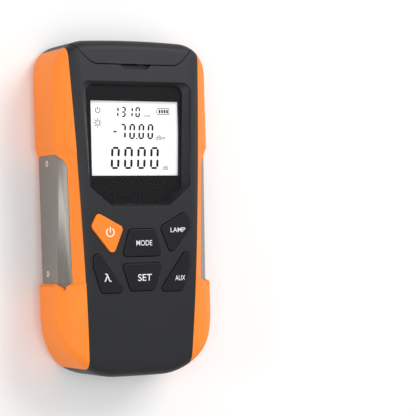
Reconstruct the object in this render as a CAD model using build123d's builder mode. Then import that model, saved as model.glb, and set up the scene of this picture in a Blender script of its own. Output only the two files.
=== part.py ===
from build123d import *
import math
import os

# Hand-held optical power meter, lying on its back. Millimetres.
# X runs across, Y to the capped end and Z up to the display side.

# Overall form
body_length = 186.9
body_thickness = 46.0
bumper_width = 96.4
plate_recess = 2.4
parting_height = 22.4
crown_radius = 950.0
top_arch_radius = 600.0
bottom_arch_radius = 900.0
top_corner_radius = 19.0
bottom_corner_radius = 35.0
front_fold_radius = 18.0
waist_fold_radius = 9.0
back_fold_radius = 8.0
rim_radius = 6.0
plate_fold_radius = 2.0

# Sides of the raised ends and of the waist between them: how far in the bevels start and how
# much every millimetre towards the capped end adds to each half width
side_growth = -0.0117
bumper_front_inset = 9.2
bumper_front_growth = 0.0
bumper_back_inset = 10.8
bumper_back_growth = 0.039
waist_front_inset = 9.5
waist_front_growth = 0.027
waist_back_inset = 10.4
waist_back_growth = 0.046

# Seam between the dark shells and the rubber grips
seam_inset = 12.3
seam_flare_angle = 2.86
seam_rise = 21.8
top_band = 1.2
foot_band = 2.9
band_corner_radius = 3.0

# Walls and fits
wall = 2.2
grip_wall = 2.6
panel_gap = 0.15
running_gap = 0.05

# Side plates and the raised ends of the grips
plate_thickness = 1.2
plate_half_height = 17.1
plate_foot_half_height = 10.0
plate_top = 29.75
plate_length = 70.4
plate_foot_drop = 5.3
plate_corner_radius = 8.0
bumper_slope = 5.6
bumper_lip = 1.8
plate_foot_radius = 1.3

# Side plate screws
plate_screw_top_margin = 4.3
plate_screw_pitch = 61.0
plate_screw_head_radius = 1.7
plate_screw_shank_radius = 0.9
plate_screw_length = 3.8
plate_screw_head_height = 0.3
plate_screw_drop = 0.5

# Rubber plug in the right side plate
plug_width = 21.6
plug_height = 13.1
plug_below_plate_top = 48.6
plug_rise = 0.95
plug_corner_radius = 2.2
plug_proud = 0.6
plug_stem_width = 12.0
plug_stem_height = 6.0
plug_tongue_width = 6.6
plug_tongue_height = 1.7
plug_tongue_length = 3.2
plug_stem_corner = 0.9
plug_tongue_corner = 0.4

# Cap over the ports, with its finger notch and hinge
cap_depth = 14.1
cap_gap = 0.6
cap_flat_half_width = 26.7
cap_shoulder_half_width = 36.6
cap_shoulder_rise = 10.3
cap_shoulder_angle = 30.0
cap_inner_bend_radius = 10.0
cap_outer_bend_radius = 8.0
notch_half_width = 9.5
notch_foot_half_width = 6.7
notch_height = 2.3
notch_depth = 2.2
hinge_tab_width = 23.8
hinge_tab_length = 6.2
hinge_radius = 1.9
hinge_pin_radius = 0.75
hinge_ear_width = 3.4
hinge_slot_depth = 4.3
hinge_pin_inset = 0.6

# Port panel and its parts
panel_half_width = 20.0
panel_height = 26.0
panel_corner_radius = 3.0
panel_lip = 2.0
panel_lip_thickness = 1.3
barrel_radius = 4.0
barrel_reach = 8.7
barrel_tail = 4.6
barrel_flange_radius = 6.5
barrel_flange_thickness = 1.6
nut_across_flats = 11.0
nut_thickness = 2.4
ferrule_bore_radius = 1.25
sleeve_wall = 0.4
sleeve_slit = 0.4
sleeve_recess = 1.0
sensor_radius = 2.7
sensor_depth = 3.0
sensor_rim = 0.6
sensor_rim_thickness = 1.2
sensor_lead_radius = 0.25
sensor_lead_circle = 1.3
sensor_lead_length = 3.0
lamp_offset = 13.0
lamp_radius = 2.5
lamp_flange = 0.5
lamp_flange_thickness = 1.0
lamp_body_length = 5.2
lamp_reach = 4.0

# Display window
window_drop = 23.3
window_top_half_width = 34.0
window_low_half_width = 31.0
window_foot_half_width = 17.8
window_side_length = 58.3
window_length = 69.1
window_lip = 0.9
window_top_slope = 3.9
window_low_slope = 2.8
window_end_slope = 1.5
window_radii = (5.0, 3.0, 4.0)
lens_height = 40.6
lens_thickness = 1.5
lens_ledge = 1.1
tray_floor = 1.2
tray_wall = 1.6

# Display module on the main board
glass_width = 59.0
glass_length = 47.5
glass_thickness = 2.0
glass_below_window_top = 31.6
backlight_thickness = 2.4
backlight_margin = 1.0
frame_wall = 2.0
frame_lip = 0.4
frame_lip_reach = 1.2
board_thickness = 1.6
board_half_width = 34.0
board_top_margin = 23.1
board_foot_margin = 31.8
board_chamfer = 7.0
board_screw_x = 29.0
board_screw_margin = 2.6
board_screw_low_x = 26.0
board_screw_low_margin = 4.6
board_boss_radius = 2.6
chip_size = 12.0
chip_thickness = 1.4
chip_corner_radius = 0.4

# Keys
key_gap = 0.3
key_proud = 0.7
power_key_proud = 1.0
key_edge_radius = 0.6
key_travel = 0.9
collar_height = 41.0
collar_wall = 1.3
flange_thickness = 1.0
flange_lip = 1.0
stem_radius = 1.8
stem_length = 1.1
switch_size = 6.0
switch_body_height = 3.5
switch_plunger_radius = 1.7
switch_gap = 0.2

# Battery bay, door and latch
door_bottom_margin = 21.7
door_length = 75.7
door_top_half_width = 32.1
door_foot_half_width = 28.2
door_corner_radius = 3.0
door_thickness = 2.0
door_gap = 0.3
door_ledge = 1.8
bay_wall = 1.5
bay_end_margin = 4.6
cell_radius = 7.1
cell_length = 50.2
cell_pitch = 14.9
cell_side_gap = 0.4
cell_button_radius = 2.7
cell_edge = 0.5
cell_button_length = 1.3
contact_thickness = 0.4
contact_width = 11.0
contact_height = 11.0
contact_leaf_width = 5.0
contact_leaf_height = 2.4
contact_leaf_reach = 4.6
contact_corner_radius = 1.0
tongue_offset = 16.0
tongue_width = 8.0
tongue_thickness = 1.6
tongue_reach = 2.4
latch_half_width = 7.4
latch_tab = 1.8
latch_root = 1.0
latch_slot = 1.9
latch_depth = 4.2
scoop_length = 5.8
scoop_depth = 2.4
scoop_corner_radius = 2.5

# Folding stand
stand_drop = 23.8
stand_above_door = 9.9
stand_top_half_width = 35.6
stand_foot_half_width = 32.6
stand_island_top_half_width = 27.3
stand_island_foot_half_width = 22.9
stand_bar_height = 19.3
stand_foot_radius = 6.0
stand_island_radius = 3.5
stand_thickness = 2.6
stand_gap = 0.35
stand_floor = 1.6
stand_pin_radius = 0.8
stand_pin_length = 1.6
stand_pin_root = 2.0
stand_corner_radius = 1.0
stand_scoop_width = 17.0
stand_scoop_height = 1.6
stand_scoop_depth = 2.0

# Case screws
case_screw_top_x = 34.0
case_screw_top_margin = 18.1
case_screw_foot_x = 25.1
case_screw_foot_margin = 10.2
case_screw_well_radius = 3.3
case_screw_head_radius = 2.7
case_screw_head_height = 2.2
case_screw_head_depth = 9.0
case_screw_shank_radius = 1.45
case_screw_reach = 7.0
case_screw_end_gap = 1.0
case_post_wall = 1.5
case_boss_radius = 3.6
screw_hole_gap = 0.05
socket_share = 0.45
socket_depth_share = 0.6

# Charging board and socket behind the plug
charge_board_thickness = 1.2
charge_board_width = 13.4
charge_board_length = 27.0
charge_board_corner = 1.0
charge_board_gap = 0.4
charge_post_radius = 2.2
charge_screw_pitch = 19.0
usb_shell_wall = 0.3
usb_shell_length = 7.0
usb_shell_width = 7.6
usb_shell_height = 2.8
usb_shell_corner = 0.8
usb_shell_back = 1.5
small_screw_head_radius = 1.7
small_screw_head_height = 1.0
small_screw_shank_radius = 0.9
small_screw_length = 5.0

# Places worked out from the sizes above
top_end = body_length / 2
bottom_end = -body_length / 2
margin = 5.0
half_bumper = bumper_width / 2
half_waist = half_bumper - plate_recess
seam_half_width = half_bumper - seam_inset
plate_foot = plate_top - plate_length
cap_seam = top_end - cap_depth
window_top = top_end - window_drop
lens_floor = lens_height - lens_thickness
tray_bottom = lens_floor - tray_floor
hinge_y = cap_seam - hinge_tab_length + hinge_radius
hinge_z = hinge_radius
panel_inner = cap_seam - wall
frame_top = tray_bottom - running_gap
glass_top = frame_top - frame_lip
backlight_top = glass_top - glass_thickness
board_top = backlight_top - backlight_thickness
glass_y = window_top - glass_below_window_top
board_end = top_end - board_top_margin
board_length = body_length - board_top_margin - board_foot_margin
keypad_top = window_top - window_length
plug_y = plate_top - plug_below_plate_top
plug_z = parting_height + plug_rise
door_foot = bottom_end + door_bottom_margin
door_top = door_foot + door_length
bay_floor = door_thickness + running_gap
bay_half_width = cell_pitch + cell_radius + cell_side_gap
bay_top = door_top - bay_end_margin
cell_reach = cell_length + cell_button_length
bay_length = cell_reach + 2 * contact_thickness + contact_leaf_height
bay_foot = bay_top - bay_length
cell_z = bay_floor + cell_side_gap + cell_radius
bay_ceiling = cell_z + cell_radius
stand_top = top_end - stand_drop
stand_foot = door_top + stand_above_door
stand_pivot_y = stand_top - stand_thickness / 2
stand_pivot_z = stand_thickness / 2
flange_bottom = collar_height - flange_thickness
slot_foot = door_foot - latch_tab - latch_slot
case_screw_places = [
    (side * x, y)
    for x, y in (
        (case_screw_top_x, top_end - case_screw_top_margin),
        (case_screw_foot_x, bottom_end + case_screw_foot_margin),
    )
    for side in (1, -1)
]
board_screw_places = [
    (side * x, y)
    for x, y in (
        (board_screw_x, board_end - board_screw_margin),
        (board_screw_low_x, board_end - board_length + board_screw_low_margin),
    )
    for side in (1, -1)
]
charge_board_top = plug_z - usb_shell_height / 2
charge_board_x = half_waist - grip_wall - wall - charge_board_gap - charge_board_width
charge_screw_places = [
    (charge_board_x + charge_post_radius + charge_board_gap, plug_y + shift * charge_screw_pitch / 2)
    for shift in (1, -1)
]
plate_screw_places = [
    (plate_top - plate_screw_top_margin - step * plate_screw_pitch, parting_height - plate_screw_drop)
    for step in (0, 1)
]

# Key outlines: corners measured from the foot of the display window, and corner radii
power_ring = [(-27.2, -3.0), (-10.9, -11.6), (-17.7, -28.1), (-31.5, -11.2)]
power_radii = [2.5, 2.8, 2.5, 3.5]
wave_ring = [(-29.8, -20.5), (-9.8, -48.0), (-25.0, -48.2), (-30.2, -33.1)]
wave_radii = [2.7, 2.2, 3.0, 12.0]
unit_ring = [(-8.05, -12.45), (8.05, -12.45), (12.6, -28.3), (-12.6, -28.3)]
unit_radii = [2.5, 2.5, 2.6, 2.6]
reference_ring = [(-12.9, -31.45), (12.9, -31.45), (7.4, -47.35), (-7.4, -47.35)]
reference_radii = [2.2, 2.2, 2.8, 2.8]


def arch_drop(radius, reach):
    """Fall of an arc of this radius at a distance from its middle."""
    return radius - math.sqrt(radius**2 - reach**2)


def seam_reach(y):
    """Half width of the dark shells at a place along the body."""
    return seam_half_width + y * math.tan(math.radians(seam_flare_angle))


def crown_height(y):
    """Height of the domed front on the middle line."""
    return body_thickness - arch_drop(crown_radius, y)


def mirrored(ring):
    """A ring of corners on the other side of the middle line."""
    return [(-x, y) for x, y in ring]


def both_sides(right_side):
    """A closed ring from its right-hand corners, listed from the top down."""
    return right_side + [(-x, y) for x, y in reversed(right_side)]


def side_reach(shape, y):
    """Half width of a form at a place along the body."""
    return shape["half"] + side_growth * y


def housing_form(shape, inset=0.0, rounded_ends=True, side_fold=0.0):
    """Outer form of the meter, or a form lying evenly inside it."""
    end = top_end - inset
    top_radius = top_arch_radius - inset
    foot_radius = bottom_arch_radius - inset
    low = arch_drop(foot_radius, shape["half"]) - end
    high = end - arch_drop(top_radius, shape["half"])
    low_reach = side_reach(shape, low) - inset
    high_reach = side_reach(shape, high) - inset
    crown = body_thickness - inset
    span = top_end + margin
    edge = crown - arch_drop(crown_radius - inset, span)
    bevel_reach = body_thickness
    shift = inset * math.sqrt(2)

    def fold_line(edge_found, height):
        middle = edge_found @ 0.5
        long_enough = edge_found.length > body_length / 2
        inside = shape["half"] / 2 < abs(middle.X) < shape["half"] - margin
        return long_enough and inside and abs(middle.Z - height) < margin

    def end_rim(edge_found, height):
        middle = edge_found @ 0.5
        near_end = abs(middle.Y) > body_length / 3
        depth = arch_drop(crown_radius, top_end) + 2 if height > parting_height else 2
        return near_end and abs((edge_found % 0.5).Z) < 0.5 and abs(middle.Z - height) < depth

    def side_line(edge_found):
        middle = edge_found @ 0.5
        reach = side_reach(shape, middle.Y) - inset
        return abs(abs(middle.X) - reach) < 0.05 and abs((edge_found % 0.5).Y) > 0.9

    with BuildPart() as form:
        with BuildSketch(Plane.XY.offset(inset)):
            with BuildLine():
                Line((low_reach, low), (high_reach, high))
                ThreePointArc((high_reach, high), (0, end), (-high_reach, high))
                Line((-high_reach, high), (-low_reach, low))
                ThreePointArc((-low_reach, low), (0, -end), (low_reach, low))
            make_face()
            if rounded_ends:
                fillet(vertices().group_by(Axis.Y)[0], bottom_corner_radius - inset)
                fillet(vertices().group_by(Axis.Y)[-1], top_corner_radius - inset)
        extrude(amount=body_thickness)
        with BuildSketch(Plane.YZ):
            with BuildLine():
                Polyline((-span, edge), (-span, inset), (span, inset), (span, edge))
                ThreePointArc((span, edge), (0, crown), (-span, edge))
            make_face()
        extrude(amount=body_length, both=True, mode=Mode.INTERSECT)
        for side in (1, -1):
            for face, bevel_inset, growth in ((1, *shape["front"]), (-1, *shape["back"])):
                lean = math.atan(growth)
                across = Plane(
                    (side * (shape["half"] - bevel_inset), 0, parting_height),
                    x_dir=(side * math.cos(lean), -math.sin(lean), 0),
                    z_dir=(side * math.sin(lean), math.cos(lean), 0),
                )
                # the plane's own second axis points down on the right side and up on the left
                turn = -side * face
                with BuildSketch(across):
                    with BuildLine():
                        Polyline(
                            (-bevel_reach - shift, turn * (seam_rise + bevel_reach)),
                            (bevel_reach - shift, turn * (seam_rise - bevel_reach)),
                            (bevel_reach - shift, turn * (seam_rise + bevel_reach)),
                            close=True,
                        )
                    make_face()
                extrude(amount=body_length, both=True, mode=Mode.SUBTRACT)
        fillet(edges().filter_by(lambda e: fold_line(e, crown)), shape["fold"] - inset)
        fillet(edges().filter_by(lambda e: fold_line(e, inset)), back_fold_radius - inset)
        if rounded_ends:
            for height in (crown, inset):
                fillet(edges().filter_by(lambda e: end_rim(e, height)), rim_radius - inset)
        if side_fold:
            fillet(edges().filter_by(GeomType.LINE).filter_by(side_line), side_fold)
    return form.part


def bevel_section(shape, y):
    """Sketch of the flat faces of a form where it is cut across."""
    reach = side_reach(shape, y)
    front_reach = shape["half"] - shape["front"][0] + shape["front"][1] * y
    back_reach = shape["half"] - shape["back"][0] + shape["back"][1] * y
    right_side = [
        (front_reach - body_thickness / 2, parting_height + seam_rise + body_thickness / 2),
        (reach, parting_height + seam_rise - reach + front_reach),
        (reach, parting_height - seam_rise + reach - back_reach),
        (back_reach - body_thickness / 2, parting_height - seam_rise - body_thickness / 2),
    ]
    with BuildSketch(Plane.XZ.offset(-y)) as section:
        Polygon(*both_sides(right_side), align=None)
    return section.sketch


def grip_region(spare=0.0, bands=(top_band, foot_band)):
    """Space outside the two seams, short of the dark bands round the ends."""
    far = bumper_width
    with BuildPart() as region:
        with BuildSketch(Plane.XY.offset(-margin)):
            for side in (1, -1):
                with BuildLine():
                    Polyline(
                        (side * (seam_reach(-body_length) - spare), -body_length),
                        (side * (seam_reach(body_length) - spare), body_length),
                        (side * far, body_length),
                        (side * far, -body_length),
                        close=True,
                    )
                make_face()
            with Locations((0, top_end - top_arch_radius)):
                Circle(top_arch_radius - bands[0], mode=Mode.INTERSECT)
            with Locations((0, bottom_end + bottom_arch_radius)):
                Circle(bottom_arch_radius - bands[1], mode=Mode.INTERSECT)
            fillet(vertices().filter_by(lambda v: abs(v.X) < half_bumper), band_corner_radius)
        extrude(amount=body_thickness + 2 * margin)
    return region.part


def cap_region(lift=0.0):
    """Space beyond the cap's seam, which runs flat and then up both shoulders."""
    seam = cap_seam + lift
    outer = half_bumper + margin
    climb = (outer - cap_shoulder_half_width) * math.tan(math.radians(cap_shoulder_angle))
    right_side = [
        (outer, seam + cap_shoulder_rise + climb),
        (cap_shoulder_half_width, seam + cap_shoulder_rise),
        (cap_flat_half_width, seam),
    ]
    bends = [cap_outer_bend_radius, cap_inner_bend_radius]
    with BuildPart() as region:
        with BuildSketch(Plane.XY.offset(-margin)):
            with BuildLine():
                curve = FilletPolyline(*both_sides(right_side), radius=bends + bends[::-1])
                Polyline(curve @ 1, (-outer, body_length), (outer, body_length), curve @ 0)
            make_face()
        extrude(amount=body_thickness + 2 * margin)
    return region.part


def plate_window(side, spare=0.0):
    """Side-view outline of a side plate, run outwards from the middle of the wall."""
    top = plate_top + spare
    foot = plate_foot - spare
    tall = plate_half_height + spare
    with BuildPart() as window:
        with BuildSketch(Plane((side * half_waist / 2, 0, parting_height), x_dir=(0, 1, 0), z_dir=(1, 0, 0))):
            with BuildLine():
                Polyline(
                    (top, tall),
                    (top, -tall),
                    (foot - plate_foot_drop, -tall),
                    (foot, -plate_foot_half_height),
                    (foot, plate_foot_half_height),
                    (foot - plate_foot_drop, tall),
                    close=True,
                )
            make_face()
            fillet(vertices().group_by(Axis.X)[-1], plate_corner_radius + spare)
            fillet(vertices().group_by(Axis.X)[0], plate_foot_radius)
        extrude(amount=side * half_bumper)
    return window.part


def plug_outline(width, height, radius, start, length):
    """Rounded block on the right side, centred on the charging socket."""
    with BuildPart() as block:
        with BuildSketch(Plane.YZ.offset(start)):
            with Locations((plug_y, plug_z)):
                RectangleRounded(width, height, radius)
        extrude(amount=length)
    return block.part


def window_ring(top_in=0.0, low_in=0.0, end_in=0.0):
    """Corners of the display window, measured down from its top edge."""
    return both_sides(
        [
            (window_top_half_width - top_in, -end_in),
            (window_low_half_width - low_in, -window_side_length),
            (window_foot_half_width - end_in / 2, -window_length + end_in),
        ]
    )


window_bends = list(window_radii) + list(reversed(window_radii))
lens_ring = window_ring(window_top_slope, window_low_slope, window_end_slope)


def lens_block(spread, bottom, height):
    """Prism with the outline of the display lens, grown or shrunk by spread."""
    with BuildPart() as block:
        with BuildSketch(Plane((0, window_top, bottom))) as ring:
            with BuildLine():
                FilletPolyline(*lens_ring, radius=window_bends, close=True)
            make_face()
            if spread:
                offset(amount=spread, kind=Kind.INTERSECTION, mode=Mode.REPLACE)
        extrude(amount=height)
    return block.part


def key_block(ring, radii, spread, bottom, height):
    """Prism with the outline of a key opening, grown or shrunk by spread."""
    with BuildPart() as block:
        with BuildSketch(Plane((0, keypad_top, bottom))):
            with BuildLine():
                FilletPolyline(*ring, radius=radii, close=True)
            make_face()
            if spread:
                offset(amount=spread, mode=Mode.REPLACE)
        extrude(amount=height)
    return block.part


def ring_middle(ring):
    """Middle of a key, where its stem stands."""
    middle_x = sum(x for x, y in ring) / len(ring)
    return middle_x, keypad_top + sum(y for x, y in ring) / len(ring)


def door_outline(spread, bottom, height):
    """Prism with the tapered outline of the battery door."""
    ring = both_sides([(door_top_half_width, door_top), (door_foot_half_width, door_foot)])
    with BuildPart() as block:
        with BuildSketch(Plane.XY.offset(bottom)):
            with BuildLine():
                FilletPolyline(*ring, radius=door_corner_radius, close=True)
            make_face()
            if spread:
                offset(amount=spread, mode=Mode.REPLACE)
        extrude(amount=height)
    return block.part


def stand_outline(spread, bottom, height, island=True):
    """Tapered U of the folding stand, or the whole space inside its outer edge."""
    outer = [(stand_top_half_width, stand_top), (stand_foot_half_width, stand_foot)]
    inner = [
        (stand_island_top_half_width, stand_top + margin),
        (stand_island_foot_half_width, stand_foot + stand_bar_height),
    ]
    outer_radii = [stand_corner_radius, stand_foot_radius, stand_foot_radius, stand_corner_radius]
    with BuildPart() as block:
        with BuildSketch(Plane.XY.offset(bottom)):
            with BuildLine():
                FilletPolyline(*both_sides(outer), radius=outer_radii, close=True)
            make_face()
            if spread:
                offset(amount=spread, mode=Mode.REPLACE)
            if island:
                with BuildSketch(mode=Mode.SUBTRACT):
                    with BuildLine():
                        FilletPolyline(
                            *both_sides(inner),
                            radius=[0, stand_island_radius, stand_island_radius, 0],
                            close=True,
                        )
                    make_face()
                    if spread:
                        offset(amount=-spread, mode=Mode.REPLACE)
        extrude(amount=height)
    return block.part


def rod(radius, start, direction, length):
    """Plain round bar from a point."""
    with BuildPart() as bar:
        with BuildSketch(Plane(start, z_dir=direction)):
            Circle(radius)
        extrude(amount=length)
    return bar.part


def screw_set(places, head_radius, head_height, shank_radius, shank_length, gap=0.0):
    """Screws at (point, direction) places: the point is under the head, the shank runs along it."""
    with BuildPart() as screws:
        for point, direction in places:
            seat = Plane(point, z_dir=direction)
            with BuildSketch(seat):
                Circle(shank_radius + gap)
            extrude(amount=shank_length)
            with BuildSketch(seat):
                Circle(head_radius + gap)
            extrude(amount=-head_height - gap)
            if not gap:
                with BuildSketch(seat.offset(-head_height)):
                    RegularPolygon(head_radius * socket_share, 6)
                extrude(amount=head_height * socket_depth_share, mode=Mode.SUBTRACT)
    return screws.part


# Forms that the pieces are cut from
bumper_shape = {
    "half": half_bumper,
    "front": (bumper_front_inset, bumper_front_growth),
    "back": (bumper_back_inset, bumper_back_growth),
    "fold": front_fold_radius,
}
waist_shape = {
    "half": half_waist,
    "front": (waist_front_inset, waist_front_growth),
    "back": (waist_back_inset, waist_back_growth),
    "fold": waist_fold_radius,
}
outer_form = housing_form(bumper_shape)
raised_form = Pos(0, 0, key_proud) * outer_form
power_raised_form = Pos(0, 0, power_key_proud) * outer_form
inner_form = housing_form(bumper_shape, inset=wall)
core_form = housing_form(waist_shape, inset=grip_wall)
core_inner_form = housing_form(waist_shape, inset=grip_wall + wall)
plate_form = housing_form(waist_shape, rounded_ends=False, side_fold=plate_fold_radius)
plate_inner_form = housing_form(
    waist_shape,
    inset=plate_thickness,
    rounded_ends=False,
    side_fold=plate_fold_radius - plate_thickness,
)
pocket_floor_form = housing_form(
    waist_shape,
    inset=plate_thickness + running_gap,
    rounded_ends=False,
    side_fold=plate_fold_radius - plate_thickness,
)

with BuildPart() as grip_space:
    add(grip_region())
    add(core_form, mode=Mode.SUBTRACT)

with BuildPart() as shell_blank:
    add(outer_form)
    add(grip_space.part, mode=Mode.SUBTRACT)

with BuildPart() as hollow:
    add(inner_form)
    add(grip_region(spare=wall, bands=(0.0, 0.0)), mode=Mode.SUBTRACT)
    add(core_inner_form)

with BuildPart() as shell_wall:
    add(shell_blank.part)
    add(cap_region(), mode=Mode.SUBTRACT)
    with BuildPart(mode=Mode.SUBTRACT):
        add(hollow.part)
        add(cap_region(-wall), mode=Mode.SUBTRACT)

# Holes that pass through more than one piece
plug_hole = plug_outline(
    plug_stem_width + 2 * panel_gap,
    plug_stem_height + 2 * panel_gap,
    plug_stem_corner + panel_gap,
    half_waist / 2,
    half_bumper,
)
plate_screw_seats = [
    ((side * side_reach(waist_shape, y), y, z), (-side, 0, 0)) for side in (1, -1) for y, z in plate_screw_places
]
plate_screw_holes = screw_set(
    plate_screw_seats,
    plate_screw_head_radius,
    plate_screw_head_height + half_bumper - half_waist,
    plate_screw_shank_radius,
    plate_screw_length + screw_hole_gap,
    gap=screw_hole_gap,
)
panel_z = parting_height
with BuildPart() as panel_hole:
    with BuildSketch(Plane.XZ.offset(-cap_seam - margin)):
        with Locations((0, panel_z)):
            RectangleRounded(
                2 * (panel_half_width + panel_gap), panel_height + 2 * panel_gap, panel_corner_radius
            )
    extrude(amount=wall + 2 * margin)

# Front shell
with BuildPart() as window_cut:
    lip_fall = crown_height(window_top - window_length) - crown_height(window_top)
    tilt = math.atan2(lip_fall, window_length)
    lip_plane = Plane(
        (0, window_top, crown_height(window_top) - window_lip),
        x_dir=(1, 0, 0),
        z_dir=(0, math.sin(tilt), math.cos(tilt)),
    )
    with BuildSketch(Plane((0, window_top, lens_height))):
        with BuildLine():
            FilletPolyline(*lens_ring, radius=window_bends, close=True)
        make_face()
    with BuildSketch(lip_plane):
        with BuildLine():
            FilletPolyline(*window_ring(), radius=window_bends, close=True)
        make_face()
    loft(ruled=True)
    with BuildSketch(lip_plane):
        with BuildLine():
            FilletPolyline(*window_ring(), radius=window_bends, close=True)
        make_face()
    extrude(amount=margin)
    add(lens_block(0.0, lens_floor, lens_thickness + running_gap))
    add(lens_block(-lens_ledge, tray_bottom - margin, margin + 2 * tray_floor))

key_set = [
    ("power_key", power_ring, power_radii, power_raised_form),
    ("unit_key", unit_ring, unit_radii, raised_form),
    ("light_key", mirrored(power_ring), power_radii, raised_form),
    ("wavelength_key", wave_ring, wave_radii, raised_form),
    ("reference_key", reference_ring, reference_radii, raised_form),
    ("lamp_key", mirrored(wave_ring), wave_radii, raised_form),
]

with BuildPart() as front_ribs:
    with BuildSketch(Plane((0, window_top, tray_bottom))):
        with BuildLine():
            FilletPolyline(*window_ring(), radius=window_bends, close=True)
        make_face()
        offset(amount=tray_wall, mode=Mode.REPLACE)
    extrude(amount=body_thickness - tray_bottom)
    for key_name, ring, radii, form in key_set:
        add(key_block(ring, radii, collar_wall, collar_height, body_thickness - collar_height))
    with BuildSketch(Plane.XY.offset(parting_height)):
        with Locations(*case_screw_places):
            Circle(case_boss_radius)
    extrude(amount=body_thickness - parting_height)
    with BuildSketch(Plane.XY.offset(board_top)):
        with Locations(*board_screw_places):
            Circle(board_boss_radius)
    extrude(amount=body_thickness - board_top)
    add(shell_blank.part, mode=Mode.INTERSECT)
    add(cap_region(), mode=Mode.SUBTRACT)

with BuildPart() as front_shell:
    add(shell_wall.part)
    split(bisect_by=Plane.XY.offset(parting_height), keep=Keep.TOP)
    add(front_ribs.part)
    add(window_cut.part, mode=Mode.SUBTRACT)
    for key_name, ring, radii, form in key_set:
        add(key_block(ring, radii, 0.0, collar_height - margin, 3 * margin), mode=Mode.SUBTRACT)
    with BuildSketch(Plane.XY.offset(parting_height)):
        with Locations(*case_screw_places):
            Circle(case_screw_shank_radius + screw_hole_gap)
    extrude(amount=case_screw_reach + case_screw_end_gap, mode=Mode.SUBTRACT)
    with BuildSketch(Plane.XY.offset(board_top)):
        with Locations(*board_screw_places):
            Circle(small_screw_shank_radius + screw_hole_gap)
    extrude(amount=small_screw_length, mode=Mode.SUBTRACT)
    add(panel_hole.part, mode=Mode.SUBTRACT)
    add(plug_hole, mode=Mode.SUBTRACT)
    add(plate_screw_holes, mode=Mode.SUBTRACT)
    with BuildSketch(Plane.XY.offset(crown_height(cap_seam) - notch_depth)):
        with BuildLine():
            Polyline(
                (-notch_half_width, cap_seam + cap_gap),
                (-notch_half_width, cap_seam),
                (-notch_foot_half_width, cap_seam - notch_height),
                (notch_foot_half_width, cap_seam - notch_height),
                (notch_half_width, cap_seam),
                (notch_half_width, cap_seam + cap_gap),
                close=True,
            )
        make_face()
    extrude(amount=margin, mode=Mode.SUBTRACT)

# Back shell
stand_tray = stand_thickness + stand_gap + stand_floor
ear_half = hinge_tab_width / 2 + panel_gap + hinge_ear_width
with BuildPart() as back_ribs:
    add(stand_outline(stand_gap + wall, 0.0, stand_tray, island=False))
    with BuildSketch(Plane.XY):
        with BuildLine():
            Polyline(
                (-ear_half, cap_seam),
                (-ear_half, hinge_y - 2 * hinge_radius - wall),
                (ear_half, hinge_y - 2 * hinge_radius - wall),
                (ear_half, cap_seam),
                close=True,
            )
        make_face()
    extrude(amount=hinge_slot_depth + wall)
    add(door_outline(door_gap + wall, 0.0, bay_floor + door_ledge))
    bay_middle = (bay_top + bay_foot) / 2
    with BuildSketch(Plane.XY):
        with Locations((0, bay_middle)):
            Rectangle(2 * (bay_half_width + bay_wall), bay_length + 2 * bay_wall)
    extrude(amount=bay_ceiling + bay_wall)
    with BuildSketch(Plane.XY):
        with Locations((0, (door_foot + slot_foot - scoop_length) / 2)):
            Rectangle(2 * (latch_half_width + wall), door_foot - slot_foot + scoop_length + 2 * wall)
    extrude(amount=latch_depth + wall)
    with BuildSketch(Plane.XY):
        with Locations(*case_screw_places):
            Circle(case_screw_well_radius + case_post_wall)
    extrude(amount=parting_height)
    with BuildSketch(Plane.XY):
        with Locations(*charge_screw_places):
            Circle(charge_post_radius)
    extrude(amount=charge_board_top - charge_board_thickness)
    add(shell_blank.part, mode=Mode.INTERSECT)
    add(cap_region(), mode=Mode.SUBTRACT)

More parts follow.
